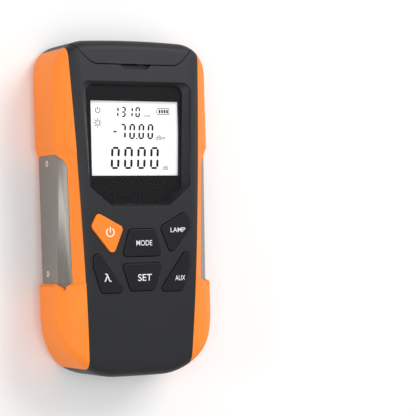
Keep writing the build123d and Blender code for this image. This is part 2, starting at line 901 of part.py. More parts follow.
with BuildPart() as back_shell:
    add(shell_wall.part)
    split(bisect_by=Plane.XY.offset(parting_height), keep=Keep.BOTTOM)
    add(back_ribs.part)
    # recess of the stand and the holes of its pins
    add(stand_outline(stand_gap, -margin, margin + stand_thickness + stand_gap), mode=Mode.SUBTRACT)
    for side in (1, -1):
        start = (side * (stand_top_half_width - stand_pin_root), stand_pivot_y, stand_pivot_z)
        reach = stand_pin_length + stand_pin_root + stand_gap
        add(rod(stand_pin_radius + running_gap, start, (side, 0, 0), reach), mode=Mode.SUBTRACT)
    with BuildSketch(Plane.XY):
        with Locations((0, stand_foot - stand_gap)):
            SlotOverall(stand_scoop_width, 2 * stand_scoop_height)
    extrude(amount=stand_scoop_depth, mode=Mode.SUBTRACT)
    # slot of the cap hinge and its pin hole
    with BuildSketch(Plane.XY.offset(-margin)):
        with BuildLine():
            slot_half = hinge_tab_width / 2 + panel_gap
            Polyline(
                (-slot_half, cap_seam + margin),
                (-slot_half, cap_seam - hinge_tab_length - cap_gap / 2),
                (slot_half, cap_seam - hinge_tab_length - cap_gap / 2),
                (slot_half, cap_seam + margin),
                close=True,
            )
        make_face()
    extrude(amount=margin + hinge_slot_depth, mode=Mode.SUBTRACT)
    pin_reach = ear_half - hinge_pin_inset
    pin_hole = rod(hinge_pin_radius + screw_hole_gap, (-pin_reach, hinge_y, hinge_z), (1, 0, 0), 2 * pin_reach)
    add(pin_hole, mode=Mode.SUBTRACT)
    # battery bay, seat of the door and pockets of its tongues
    add(door_outline(door_gap, -margin, margin + bay_floor), mode=Mode.SUBTRACT)
    with BuildSketch(Plane.XY):
        with Locations((0, bay_middle)):
            Rectangle(2 * bay_half_width, bay_length)
    extrude(amount=bay_ceiling, mode=Mode.SUBTRACT)
    tongue_lip = door_thickness - running_gap
    with BuildSketch(Plane.XY.offset(tongue_lip)):
        pocket_end = door_top + tongue_reach + 2 * door_gap
        with Locations(
            (tongue_offset, (pocket_end + bay_top) / 2), (-tongue_offset, (pocket_end + bay_top) / 2)
        ):
            Rectangle(tongue_width + 4 * door_gap, pocket_end - bay_top)
    extrude(amount=bay_floor + door_ledge, mode=Mode.SUBTRACT)
    # latch slot and thumb scoop
    with BuildSketch(Plane.XY.offset(-margin)):
        with Locations((0, (door_foot + slot_foot) / 2)):
            Rectangle(2 * latch_half_width, door_foot - slot_foot)
    extrude(amount=margin + latch_depth, mode=Mode.SUBTRACT)
    with BuildPart(mode=Mode.SUBTRACT):
        scoop_radius = (scoop_depth**2 + scoop_length**2) / (2 * scoop_depth)
        with BuildSketch(Plane.YZ.offset(-latch_half_width)):
            with Locations((slot_foot, scoop_depth - scoop_radius)):
                Circle(scoop_radius)
        extrude(amount=2 * latch_half_width)
        with BuildSketch(Plane.XY.offset(-margin)):
            with Locations((0, slot_foot - scoop_length / 2)):
                RectangleRounded(2 * latch_half_width, scoop_length + 2 * margin, scoop_corner_radius)
            with Locations((0, slot_foot - scoop_length + body_length / 2)):
                Rectangle(bumper_width, body_length, mode=Mode.INTERSECT)
        extrude(amount=2 * margin, mode=Mode.INTERSECT)
    # case screw wells
    with BuildSketch(Plane.XY):
        with Locations(*case_screw_places):
            Circle(case_screw_well_radius)
    extrude(amount=case_screw_head_depth + case_screw_head_height, mode=Mode.SUBTRACT)
    with BuildSketch(Plane.XY):
        with Locations(*case_screw_places):
            Circle(case_screw_shank_radius + screw_hole_gap)
    extrude(amount=parting_height, mode=Mode.SUBTRACT)
    with BuildSketch(Plane.XY.offset(charge_board_top - charge_board_thickness - small_screw_length)):
        with Locations(*charge_screw_places):
            Circle(small_screw_shank_radius + screw_hole_gap)
    extrude(amount=small_screw_length, mode=Mode.SUBTRACT)
    add(panel_hole.part, mode=Mode.SUBTRACT)
    add(plug_hole, mode=Mode.SUBTRACT)
    add(plate_screw_holes, mode=Mode.SUBTRACT)

# Rubber grips, one on each side, cut back to the waist between their raised ends
with BuildPart() as relief:
    with BuildSketch(Plane.XZ.offset(-plate_top)):
        with Locations((0, parting_height)):
            Rectangle(bumper_width + 2 * margin, body_thickness + 2 * margin)
    extrude(amount=plate_length)
    add(plate_form, mode=Mode.SUBTRACT)
for ramp_foot, ramp_length in ((plate_top, bumper_slope), (plate_foot, -bumper_lip)):
    with BuildPart() as ramp:
        add(bevel_section(waist_shape, ramp_foot))
        add(bevel_section(bumper_shape, ramp_foot + ramp_length))
        loft(ruled=True)
    with BuildPart() as ramp_space:
        with BuildSketch(Plane.XZ.offset(-ramp_foot)):
            with Locations((0, parting_height)):
                Rectangle(bumper_width + 2 * margin, body_thickness + 2 * margin)
        extrude(amount=-ramp_length)
        add(ramp.part, mode=Mode.SUBTRACT)
    relief.part = relief.part + ramp_space.part

grips = {}
for grip_name, side in (("right_grip", 1), ("left_grip", -1)):
    with BuildPart() as grip:
        add(outer_form)
        add(grip_space.part, mode=Mode.INTERSECT)
        split(bisect_by=Plane.YZ, keep=Keep.TOP if side > 0 else Keep.BOTTOM)
        add(relief.part, mode=Mode.SUBTRACT)
        with BuildPart(mode=Mode.SUBTRACT):
            add(plate_window(side, spare=panel_gap))
            add(pocket_floor_form, mode=Mode.SUBTRACT)
        add(plate_screw_holes, mode=Mode.SUBTRACT)
        if side > 0:
            add(plug_hole, mode=Mode.SUBTRACT)
    grip.part.label = grip_name
    grips[grip_name] = grip.part

# Brushed side plates
plates = {}
for plate_name, side in (("right_side_plate", 1), ("left_side_plate", -1)):
    with BuildPart() as plate:
        add(plate_form)
        add(plate_window(side), mode=Mode.INTERSECT)
        add(plate_inner_form, mode=Mode.SUBTRACT)
        add(plate_screw_holes, mode=Mode.SUBTRACT)
        if side > 0:
            opening = plug_outline(plug_width, plug_height, plug_corner_radius, half_waist / 2, half_bumper)
            add(opening, mode=Mode.SUBTRACT)
    plate.part.label = plate_name
    plates[plate_name] = plate.part

plate_screws = screw_set(
    plate_screw_seats,
    plate_screw_head_radius,
    plate_screw_head_height,
    plate_screw_shank_radius,
    plate_screw_length,
)
plate_screws.label = "side_plate_screws"

# Cap, with the tab and barrel of its hinge
with BuildPart() as top_cap:
    add(shell_blank.part)
    add(cap_region(cap_gap), mode=Mode.INTERSECT)
    add(hollow.part, mode=Mode.SUBTRACT)
    with BuildSketch(Plane.YZ.offset(-hinge_tab_width / 2)):
        with Locations((hinge_y, hinge_z)):
            Circle(hinge_radius)
        with Locations(((hinge_y + cap_seam + wall) / 2, wall / 2)):
            Rectangle(cap_seam + wall - hinge_y, wall)
    extrude(amount=hinge_tab_width)
    add(rod(hinge_pin_radius + running_gap, (-ear_half, hinge_y, hinge_z), (1, 0, 0), 2 * ear_half), mode=Mode.SUBTRACT)

cap_hinge_pin = rod(hinge_pin_radius, (-pin_reach, hinge_y, hinge_z), (1, 0, 0), 2 * pin_reach)
cap_hinge_pin.label = "cap_hinge_pin"

# Port panel, the optical port and the lamp
with BuildPart() as port_panel:
    with BuildSketch(Plane.XZ.offset(-cap_seam)):
        with Locations((0, panel_z)):
            RectangleRounded(2 * panel_half_width, panel_height, panel_corner_radius - panel_gap)
    extrude(amount=wall)
    with BuildSketch(Plane.XZ.offset(-panel_inner)):
        with Locations((0, panel_z)):
            RectangleRounded(
                2 * (panel_half_width + panel_lip), panel_height + 2 * panel_lip, panel_corner_radius
            )
    extrude(amount=panel_lip_thickness)
    add(rod(barrel_radius + screw_hole_gap, (0, cap_seam, panel_z), (0, -1, 0), 2 * wall), mode=Mode.SUBTRACT)
    add(rod(lamp_radius + screw_hole_gap, (lamp_offset, cap_seam, panel_z), (0, -1, 0), 2 * wall), mode=Mode.SUBTRACT)

barrel_back = panel_inner - barrel_tail
with BuildPart() as port_barrel:
    add(rod(barrel_radius, (0, barrel_back, panel_z), (0, 1, 0), cap_seam + barrel_reach - barrel_back))
    add(rod(barrel_flange_radius, (0, cap_seam, panel_z), (0, 1, 0), barrel_flange_thickness))
    sleeve_bore = ferrule_bore_radius + sleeve_wall + running_gap
    add(rod(sleeve_bore, (0, barrel_back, panel_z), (0, 1, 0), body_length / 2), mode=Mode.SUBTRACT)
    add(rod(sensor_radius + running_gap, (0, barrel_back, panel_z), (0, 1, 0), sensor_depth), mode=Mode.SUBTRACT)

with BuildPart() as port_nut:
    nut_face = panel_inner - panel_lip_thickness
    with BuildSketch(Plane.XZ.offset(-nut_face)):
        with Locations((0, panel_z)):
            RegularPolygon(nut_across_flats / 2, 6, major_radius=False)
            Circle(barrel_radius + screw_hole_gap, mode=Mode.SUBTRACT)
    extrude(amount=nut_thickness)

with BuildPart() as ferrule_sleeve:
    sleeve_front = cap_seam + barrel_reach - sleeve_recess
    with BuildSketch(Plane.XZ.offset(-sleeve_front)):
        with Locations((0, panel_z)):
            Circle(ferrule_bore_radius + sleeve_wall)
            Circle(ferrule_bore_radius, mode=Mode.SUBTRACT)
        with Locations((0, panel_z + ferrule_bore_radius)):
            Rectangle(sleeve_slit, 4 * sleeve_wall, mode=Mode.SUBTRACT)
    extrude(amount=sleeve_front - barrel_back - sensor_depth)

with BuildPart() as photodiode:
    can_length = sensor_depth + sensor_rim_thickness
    add(rod(sensor_radius, (0, barrel_back + sensor_depth, panel_z), (0, -1, 0), can_length))
    add(rod(sensor_radius + sensor_rim, (0, barrel_back, panel_z), (0, -1, 0), sensor_rim_thickness))
    with BuildSketch(Plane.XZ.offset(sensor_rim_thickness - barrel_back)):
        with Locations((0, panel_z)):
            with PolarLocations(sensor_lead_circle, 3):
                Circle(sensor_lead_radius)
    extrude(amount=sensor_lead_length)

with BuildPart() as lamp_led:
    dome_y = cap_seam + lamp_reach - lamp_radius
    lamp_seat = panel_inner - panel_lip_thickness
    add(rod(lamp_radius, (lamp_offset, dome_y, panel_z), (0, -1, 0), lamp_body_length))
    with Locations((lamp_offset, dome_y, panel_z)):
        Sphere(lamp_radius)
    add(rod(lamp_radius + lamp_flange, (lamp_offset, lamp_seat, panel_z), (0, -1, 0), lamp_flange_thickness))

# Display: lens, module frame, glass and backlight
display_lens = lens_block(-running_gap, lens_floor, lens_thickness)
display_lens.label = "display_lens"

with BuildPart() as lcd_glass:
    with BuildSketch(Plane((0, glass_y, backlight_top))):
        Rectangle(glass_width, glass_length)
    extrude(amount=glass_thickness)

with BuildPart() as backlight:
    with BuildSketch(Plane((0, glass_y, board_top))):
        Rectangle(glass_width - 2 * backlight_margin, glass_length - 2 * backlight_margin)
    extrude(amount=backlight_thickness)

with BuildPart() as lcd_frame:
    with BuildSketch(Plane((0, glass_y, board_top))):
        Rectangle(glass_width + 2 * frame_wall, glass_length + 2 * frame_wall)
    extrude(amount=frame_top - board_top)
    with BuildSketch(Plane((0, glass_y, board_top))):
        Rectangle(glass_width + 2 * panel_gap, glass_length + 2 * panel_gap)
    extrude(amount=glass_top - board_top, mode=Mode.SUBTRACT)
    with BuildSketch(Plane((0, glass_y, board_top))):
        Rectangle(glass_width - 2 * frame_lip_reach, glass_length - 2 * frame_lip_reach)
    extrude(amount=body_thickness, mode=Mode.SUBTRACT)

# Main board with its screws, chip and key switches
with BuildPart() as main_board:
    with BuildSketch(Plane((0, board_end - board_length / 2, board_top - board_thickness))):
        Rectangle(2 * board_half_width, board_length)
        chamfer(vertices(), board_chamfer)
    extrude(amount=board_thickness)
    with BuildSketch(Plane.XY.offset(board_top - board_thickness)):
        with Locations(*board_screw_places):
            Circle(small_screw_shank_radius + screw_hole_gap)
    extrude(amount=board_thickness, mode=Mode.SUBTRACT)

with BuildPart() as processor:
    with BuildSketch(Plane((0, glass_y, board_top - board_thickness))):
        RectangleRounded(chip_size, chip_size, chip_corner_radius)
    extrude(amount=-chip_thickness)

board_under = board_top - board_thickness
board_screws = screw_set(
    [((x, y, board_under), (0, 0, 1)) for x, y in board_screw_places]
    + [((x, y, charge_board_top), (0, 0, -1)) for x, y in charge_screw_places],
    small_screw_head_radius,
    small_screw_head_height,
    small_screw_shank_radius,
    small_screw_length,
)
board_screws.label = "board_screws"

plunger_top = flange_bottom - stem_length - key_travel - switch_gap
key_parts = {}
for number, (key_name, ring, radii, form) in enumerate(key_set, start=1):
    stem_x, stem_y = ring_middle(ring)
    with BuildPart() as key:
        add(key_block(ring, radii, -key_gap, flange_bottom, 2 * margin))
        add(form, mode=Mode.INTERSECT)
        walls = faces().filter_by(lambda f: abs(f.normal_at().Z) < 0.1)
        crown_edges = walls.edges().filter_by(lambda e: (e @ 0.5).Z > collar_height + key_edge_radius)
        fillet(crown_edges.filter_by(lambda e: abs((e % 0.5).Z) < 0.5), key_edge_radius)
        add(key_block(ring, radii, flange_lip - key_gap, flange_bottom, flange_thickness - running_gap))
        add(rod(stem_radius, (stem_x, stem_y, flange_bottom), (0, 0, -1), stem_length))
    key.part.label = key_name
    key_parts[key_name] = key.part
    with BuildPart() as switch:
        with BuildSketch(Plane((stem_x, stem_y, board_top))):
            RectangleRounded(switch_size, switch_size, chip_corner_radius)
        extrude(amount=switch_body_height)
        add(rod(switch_plunger_radius, (stem_x, stem_y, board_top), (0, 0, 1), plunger_top - board_top))
    switch_name = f"key_switch_{number}"
    switch.part.label = switch_name
    key_parts[switch_name] = switch.part

# Charging socket on its small board, and the rubber plug that closes it
with BuildPart() as charge_board:
    with BuildSketch(Plane((charge_board_x + charge_board_width / 2, plug_y, charge_board_top))):
        RectangleRounded(charge_board_width, charge_board_length, charge_board_corner)
    extrude(amount=-charge_board_thickness)
    with BuildSketch(Plane.XY.offset(charge_board_top)):
        with Locations(*charge_screw_places):
            Circle(small_screw_shank_radius + screw_hole_gap)
    extrude(amount=-charge_board_thickness, mode=Mode.SUBTRACT)

socket_mouth = half_waist - grip_wall - wall - charge_board_gap
with BuildPart() as usb_socket:
    with BuildSketch(Plane.YZ.offset(socket_mouth - usb_shell_length)):
        with Locations((plug_y, plug_z)):
            RectangleRounded(usb_shell_width, usb_shell_height, usb_shell_corner)
    extrude(amount=usb_shell_length)
    with BuildSketch(Plane.YZ.offset(socket_mouth)):
        with Locations((plug_y, plug_z)):
            RectangleRounded(
                usb_shell_width - 2 * usb_shell_wall,
                usb_shell_height - 2 * usb_shell_wall,
                usb_shell_corner - usb_shell_wall,
            )
    extrude(amount=usb_shell_back - usb_shell_length, mode=Mode.SUBTRACT)

stem_start = half_waist - grip_wall - wall
plug_back = side_reach(waist_shape, plug_y - plug_width / 2) - plate_thickness
plug_face = side_reach(waist_shape, plug_y) + plug_proud
with BuildPart() as usb_plug:
    add(
        plug_outline(
            plug_width - 2 * panel_gap,
            plug_height - 2 * panel_gap,
            plug_corner_radius,
            plug_back,
            plug_face - plug_back,
        )
    )
    fillet(faces().sort_by(Axis.X)[-1].edges(), plug_proud / 2)
    stem_reach = plug_back - stem_start
    add(plug_outline(plug_stem_width, plug_stem_height, plug_stem_corner, stem_start, stem_reach))
    tongue_start = socket_mouth - plug_tongue_length
    tongue_reach_in = stem_start - tongue_start
    add(plug_outline(plug_tongue_width, plug_tongue_height, plug_tongue_corner, tongue_start, tongue_reach_in))

# Folding stand
with BuildPart() as kickstand:
    add(stand_outline(0.0, 0.0, stand_thickness))
    with BuildSketch(Plane.YZ.offset(-bumper_width / 2)):
        with Locations((stand_pivot_y, stand_pivot_z)):
            Circle(stand_thickness / 2)
        with Locations((stand_pivot_y - body_length / 2, stand_pivot_z)):
            Rectangle(body_length, stand_thickness)
    extrude(amount=bumper_width, mode=Mode.INTERSECT)
    for side in (1, -1):
        start = (side * (stand_top_half_width - stand_pin_root), stand_pivot_y, stand_pivot_z)
        add(rod(stand_pin_radius, start, (side, 0, 0), stand_pin_length + stand_pin_root))

# Battery door with its tongues and latch
with BuildPart() as battery_door:
    add(door_outline(0.0, 0.0, door_thickness))
    with BuildSketch(Plane.XY):
        with Locations((0, door_foot + (latch_root - latch_tab) / 2)):
            Rectangle(2 * (latch_half_width - door_gap), latch_tab + latch_root)
    extrude(amount=door_thickness)
    with BuildSketch(Plane.XY.offset(door_thickness)):
        with Locations((tongue_offset, door_top), (-tongue_offset, door_top)):
            Rectangle(tongue_width, 2 * tongue_reach)
    extrude(amount=tongue_thickness)

# Cells in series, the middle one turned round, and their contacts
cell_parts = {}
bay_ends = {1: bay_foot, -1: bay_top}
for number, turn in ((1, 1), (2, -1), (3, 1)):
    cell_x = (number - 2) * cell_pitch
    start = bay_ends[turn] + turn * (contact_thickness + contact_leaf_height)
    with BuildPart() as cell:
        with BuildSketch(Plane((cell_x, start, cell_z), z_dir=(0, turn, 0))):
            Circle(cell_radius)
        extrude(amount=cell_length)
        chamfer(edges(), cell_edge)
        with BuildSketch(Plane((cell_x, start, cell_z), z_dir=(0, turn, 0))):
            Circle(cell_button_radius)
        extrude(amount=cell_reach)
    cell_name = f"battery_cell_{number}"
    cell.part.label = cell_name
    cell_parts[cell_name] = cell.part

contact_set = [(1, (-1,), -1), (-1, (-1, 0), 0), (1, (0, 1), 1), (-1, (1,), None)]
for number, (turn, columns, leaf_column) in enumerate(contact_set, start=1):
    end_y = bay_ends[turn]
    with BuildPart() as contact:
        middle_x = sum(columns) / len(columns) * cell_pitch
        plate_span = contact_width + (len(columns) - 1) * cell_pitch
        with BuildSketch(Plane((middle_x, end_y, cell_z), x_dir=(1, 0, 0), z_dir=(0, turn, 0))):
            RectangleRounded(plate_span, contact_height, contact_corner_radius)
        extrude(amount=contact_thickness)
        if leaf_column is not None:
            leaf_x = leaf_column * cell_pitch - contact_leaf_width / 2
            base = end_y + turn * contact_thickness / 2
            tip = end_y + turn * (contact_thickness + contact_leaf_height)
            inner_tip = tip - turn * contact_thickness
            inner_reach = contact_leaf_reach - contact_thickness
            with BuildSketch(Plane((leaf_x, 0, cell_z), x_dir=(0, 1, 0), z_dir=(1, 0, 0))):
                with BuildLine():
                    ThreePointArc((base, contact_leaf_reach), (tip, 0), (base, -contact_leaf_reach))
                    Line((base, -contact_leaf_reach), (base, -inner_reach))
                    ThreePointArc((base, -inner_reach), (inner_tip, 0), (base, inner_reach))
                    Line((base, inner_reach), (base, contact_leaf_reach))
                make_face()
            extrude(amount=contact_leaf_width)
    contact_name = f"battery_contact_{number}"
    contact.part.label = contact_name
    cell_parts[contact_name] = contact.part

# Write one file for each piece
front_shell.part.label = "front_shell"
back_shell.part.label = "back_shell"
top_cap.part.label = "top_cap"
port_panel.part.label = "port_panel"
port_barrel.part.label = "port_barrel"
port_nut.part.label = "port_nut"
ferrule_sleeve.part.label = "ferrule_sleeve"
photodiode.part.label = "photodiode"
lamp_led.part.label = "lamp_led"
lcd_glass.part.label = "lcd_glass"
backlight.part.label = "backlight"
lcd_frame.part.label = "lcd_frame"
main_board.part.label = "main_board"
processor.part.label = "processor"
charge_board.part.label = "charge_board"
usb_socket.part.label = "usb_socket"
usb_plug.part.label = "usb_plug"
kickstand.part.label = "kickstand"
battery_door.part.label = "battery_door"

case_screws = screw_set(
    [((x, y, case_screw_head_depth + case_screw_head_height), (0, 0, 1)) for x, y in case_screw_places],
    case_screw_head_radius,
    case_screw_head_height,
    case_screw_shank_radius,
    parting_height + case_screw_reach - case_screw_head_depth - case_screw_head_height,
)
case_screws.label = "case_screws"

pieces = [
    front_shell.part,
    back_shell.part,
    top_cap.part,
    cap_hinge_pin,
    port_panel.part,
    port_barrel.part,
    port_nut.part,
    ferrule_sleeve.part,
    photodiode.part,
    lamp_led.part,
    display_lens,
    lcd_glass.part,
    backlight.part,
    lcd_frame.part,
    main_board.part,
    processor.part,
    board_screws,
    charge_board.part,
    usb_socket.part,
    usb_plug.part,
    kickstand.part,
    battery_door.part,
    case_screws,
    plate_screws,
]
pieces += list(grips.values()) + list(plates.values()) + list(key_parts.values()) + list(cell_parts.values())

os.makedirs("parts", exist_ok=True)
for piece in pieces:
    export_step(piece, f"parts/{piece.label}.step")
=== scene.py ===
"""Dresses a hand-held optical power meter: finishes, display, key legends, back label and stage."""

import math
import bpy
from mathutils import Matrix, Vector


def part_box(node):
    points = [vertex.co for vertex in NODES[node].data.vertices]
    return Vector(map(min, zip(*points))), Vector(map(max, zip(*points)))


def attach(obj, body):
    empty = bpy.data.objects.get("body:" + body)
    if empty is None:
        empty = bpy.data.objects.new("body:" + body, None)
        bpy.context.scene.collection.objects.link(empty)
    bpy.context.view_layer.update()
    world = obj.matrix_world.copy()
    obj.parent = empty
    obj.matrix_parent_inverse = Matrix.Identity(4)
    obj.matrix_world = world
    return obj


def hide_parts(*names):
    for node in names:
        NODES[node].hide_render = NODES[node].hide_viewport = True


bl_info = {
    "name": "Optical power meter",
    "version": (1, 0, 0),
    "blender": (4, 5, 0),
    "location": "View3D > Sidebar > Meter",
    "description": "Finishes, display figures and legends of a hand-held meter",
    "category": "Object",
}

import bmesh
import bpy
from mathutils import Matrix, Vector
from mathutils.bvhtree import BVHTree

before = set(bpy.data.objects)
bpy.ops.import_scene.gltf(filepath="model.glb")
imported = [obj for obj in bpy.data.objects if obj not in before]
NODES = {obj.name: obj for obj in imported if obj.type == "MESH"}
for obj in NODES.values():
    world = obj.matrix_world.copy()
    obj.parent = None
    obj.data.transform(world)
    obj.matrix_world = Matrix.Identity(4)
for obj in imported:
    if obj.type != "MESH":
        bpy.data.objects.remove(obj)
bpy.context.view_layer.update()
MM = 0.001


def top_of(node, axis):
    """Highest reach of a CAD piece along an axis, in mm."""
    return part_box(node)[1][axis] / MM


def middle_of(node, axis):
    """Middle of a CAD piece along an axis, in mm."""
    low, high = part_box(node)
    return (low[axis] + high[axis]) / 2 / MM


# Where the prints lie, in millimetres: the display's from the middle of its glass, the window
# border's from the top edge of the lens, and the legends' from the middle of the key row
GLASS_Y = middle_of("lcd_glass", 1)
LENS_TOP = top_of("display_lens", 1)
KEYS_Y = middle_of("unit_key", 1)
DOOR_TOP = top_of("battery_door", 1)
INK_THICKNESS = 0.03

# The window: corners down its right side as (x, y, radius), the opening in its border as (left,
# low, right, high), and how far into the back of the lens that border is printed
LENS_CORNERS = [(30.1, 0.05, 5.0), (28.2, -56.75, 3.0), (17.05, -66.05, 4.0)]
MASK_OPENING = (-26.35, -20.5, 28.2, 21.0)
MASK_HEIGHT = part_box("display_lens")[0][2] / MM + 0.04

# Lit bars of each figure: top, upper right, lower right, bottom, lower left, upper left, middle
FIGURE_BARS = {
    "0": "abcdef",
    "1": "bc",
    "3": "abcdg",
    "7": "abc",
    "-": "g",
}

# Rows of figures: words, left and foot, a figure's width and height, pitch and stroke
FIGURE_ROWS = [
    ("1310", -13.35, 12.05, 2.9, 5.95, 4.42, 0.92),
    ("70.00", -9.8, -0.15, 3.6, 8.7, 5.68, 1.12),
    ("0000", -15.8, -16.9, 5.35, 12.6, 8.1, 1.42),
]

# The display's print stands a little to the right of its glass; its figures lean by a share of
# their height. An upright bar's length and its middle's rise are shares of the height, and a level
# bar's thickness, the room at its two ends and the full stop are shares of the stroke
FIGURE_SHIFT = 1.93
FIGURE_HEIGHT = top_of("lcd_glass", 2)
FIGURE_SLANT = 0.06
UPRIGHT_LENGTH = 0.35
UPRIGHT_RISE = 0.235
LEVEL_WIDTH = 0.85
LEVEL_ROOM = 1.25
STOP_SIZE = 0.8
BAR_TIP = 0.11

# Signs on the display: the middles of the minus, power mark, sun and first battery bar, the
# battery's outline, and the length and width of the bars
MINUS_SIGN = (-12.9, 4.0)
MINUS_SIZE = (2.2, 0.9)
POWER_MARK = (-23.25, 15.9)
POWER_RADIUS = 1.45
SUN_MARK = (-23.4, 8.75)
SUN_RADIUS = 1.2
SUN_RAYS = 8
RAY_START, RAY_END = 1.65, 2.6
MARK_STROKE = 0.42
BATTERY_OUTLINE = [(13.0, 15.6), (13.9, 13.9), (21.0, 13.9), (21.0, 17.3), (13.9, 17.3)]
BATTERY_STROKE = 0.36
BATTERY_BAR = (15.07, 15.6)
BATTERY_BAR_SIZE = (2.2, 1.05)
BATTERY_BARS = 4
BATTERY_PITCH = 1.58

# Units on the display: letters, width and height, middle
UNITS = [
    ("nm", 3.6, 1.3, 7.3, 12.8),
    ("dBm", 5.8, 2.4, 15.2, 0.9),
    ("dB", 3.4, 2.4, 17.9, -16.1),
]
UNIT_WEIGHT = 0.01

# Key legends: key, letters, width and height, middle, and how much the strokes are thickened
LEGENDS = [
    ("unit_key", "MODE", 9.8, 3.0, 1.1, -0.2, 0.004),
    ("reference_key", "SET", 8.5, 3.8, 1.35, -19.35, 0.004),
    ("light_key", "LAMP", 9.2, 2.6, 22.15, 6.7, 0.003),
    ("lamp_key", "AUX", 6.3, 2.8, 23.4, -20.2, 0.003),
    ("wavelength_key", "λ", 4.4, 4.6, -21.2, -18.8, 0.006),
]
LEGEND_LIFT = 0.02
LEGEND_PITCH = 0.8
POWER_LEGEND = (-19.7, 6.0)
POWER_STROKE = 0.6

# Side plates: radius of the eased edge, least angle of an edge that is eased, depth of the screw
# heads and radius of the painted shade in their drive sockets
PLATE_EDGE = 0.35
SHARP_ANGLE = math.radians(35)
HEAD_DEPTH = 2.0
SOCKET_SHADE_RADIUS = 0.75

# Back label: its top and foot under the door's upper edge, half its width at both, the inset of
# its frame at the sides and at the foot, and the thickness of its films
LABEL_TOP = DOOR_TOP - 5.4
LABEL_FOOT = DOOR_TOP - 74.5
LABEL_WIDE = 29.3
LABEL_NARROW = 25.6
FRAME_INSETS = (0.8, 1.7)
LABEL_RADIUS = 1.2
PANEL_FILM = 0.03
FIELD_FILM = 0.045

# Blank fields of the label: upper and lower edge under its top, and insets at the left and right,
# with one more short field as (left, low, right, high) from the label's top
LABEL_FIELDS = [
    (3.0, 12.4, 3.0, 3.0),
    (14.4, 19.8, 22.0, 3.0),
    (21.6, 27.0, 14.0, 3.0),
    (28.8, 34.2, 22.0, 3.0),
    (36.0, 41.4, 18.0, 22.0),
    (43.2, 48.8, 20.0, 3.0),
]
SHORT_FIELD = (8.0, -41.4, 20.0, -36.0)

# Textures: the band that holds nearly all values of a noise, the size in mm of the cloudy change
# of tone across a moulding, how far a gloss wanders from its middle, and the scale of a brushed
# pattern along the plate against its scale across
NOISE_LOW, NOISE_HIGH = 0.3, 0.7
TONE_PATCH = 28
GLOSS_SPREAD = 0.06
BRUSH_STRETCH = 0.02

# The floor lies just under the label's print; the lights are (name, place, size, power), in
# metres and watts, and all face the middle of the body
FLOOR_DROP = 0.12
BODY_MIDDLE = (0, 0, 0.02)
LIGHTS = [
    ("key_light", (0.55, 0.75, 1.0), 0.7, 8.0),
    ("front_light", (-0.5, -0.1, 1.3), 0.8, 5.5),
    ("side_light", (-1.1, 0.0, 0.6), 0.25, 1.4),
    ("edge_light", (1.2, 0.1, 0.35), 0.5, 2.0),
]


def linear(colour, strength=1.0):
    """An sRGB hex value such as 'FB9149' as linear light."""
    parts = [int(colour[i : i + 2], 16) / 255 for i in (0, 2, 4)]
    light = [c / 12.92 if c <= 0.04045 else ((c + 0.055) / 1.055) ** 2.4 for c in parts]
    return (*[c * strength for c in light], 1.0)


def add_node(tree, kind, inputs=None, **settings):
    """Adds a node; inputs maps a socket's name or number to a value or to an output to link."""
    node = tree.nodes.new(kind)
    for name, value in settings.items():
        setattr(node, name, value)
    for socket, value in (inputs or {}).items():
        if isinstance(value, bpy.types.NodeSocket):
            tree.links.new(value, node.inputs[socket])
        else:
            node.inputs[socket].default_value = value
    return node


def new_material(name):
    """An empty node material and its tree."""
    material = bpy.data.materials.new(name)
    material.use_nodes = True
    material.node_tree.nodes.clear()
    return material, material.node_tree


def moulded(name, colour, grain, depth, rough, mottle=0.05, specular=0.5):
    """Plastic or rubber from a spark-eroded mould, its texture's pitch and height given in mm."""
    material, tree = new_material(name)
    place = add_node(tree, "ShaderNodeTexCoord").outputs["Object"]
    fine = add_node(
        tree,
        "ShaderNodeTexNoise",
        {"Vector": place, "Scale": 1 / (grain * MM), "Detail": 3.0, "Roughness": 0.6},
    ).outputs["Fac"]
    broad = add_node(
        tree,
        "ShaderNodeTexNoise",
        {"Vector": place, "Scale": 1 / (TONE_PATCH * MM), "Detail": 2.0, "Roughness": 0.5},
    ).outputs["Fac"]
    tones = add_node(tree, "ShaderNodeValToRGB", {"Fac": broad})
    tones.color_ramp.elements[0].position = 0.35
    tones.color_ramp.elements[1].position = 0.68
    tones.color_ramp.elements[0].color = linear(colour, 1 - mottle)
    tones.color_ramp.elements[1].color = linear(colour, 1 + mottle)
    speckle = add_node(
        tree,
        "ShaderNodeMapRange",
        {
            "Value": fine,
            "From Min": NOISE_LOW,
            "From Max": NOISE_HIGH,
            "To Min": 1 - mottle,
            "To Max": 1 + mottle,
        },
    ).outputs["Result"]
    shade = add_node(
        tree,
        "ShaderNodeMix",
        {"Factor": 1.0, 6: tones.outputs["Color"], 7: speckle},
        data_type="RGBA",
        blend_type="MULTIPLY",
    ).outputs[2]
    dull = add_node(
        tree,
        "ShaderNodeMapRange",
        {
            "Value": fine,
            "From Min": NOISE_LOW,
            "From Max": NOISE_HIGH,
            "To Min": rough - GLOSS_SPREAD,
            "To Max": rough + GLOSS_SPREAD,
        },
    ).outputs["Result"]
    bump = add_node(
        tree,
        "ShaderNodeBump",
        {"Height": fine, "Strength": 0.5, "Distance": depth * MM},
    ).outputs["Normal"]
    shader = add_node(
        tree,
        "ShaderNodeBsdfPrincipled",
        {
            "Base Color": shade,
            "Roughness": dull,
            "Normal": bump,
            "IOR": 1.5,
            "Specular IOR Level": specular,
        },
    )
    add_node(tree, "ShaderNodeOutputMaterial", {"Surface": shader.outputs["BSDF"]})
    return material


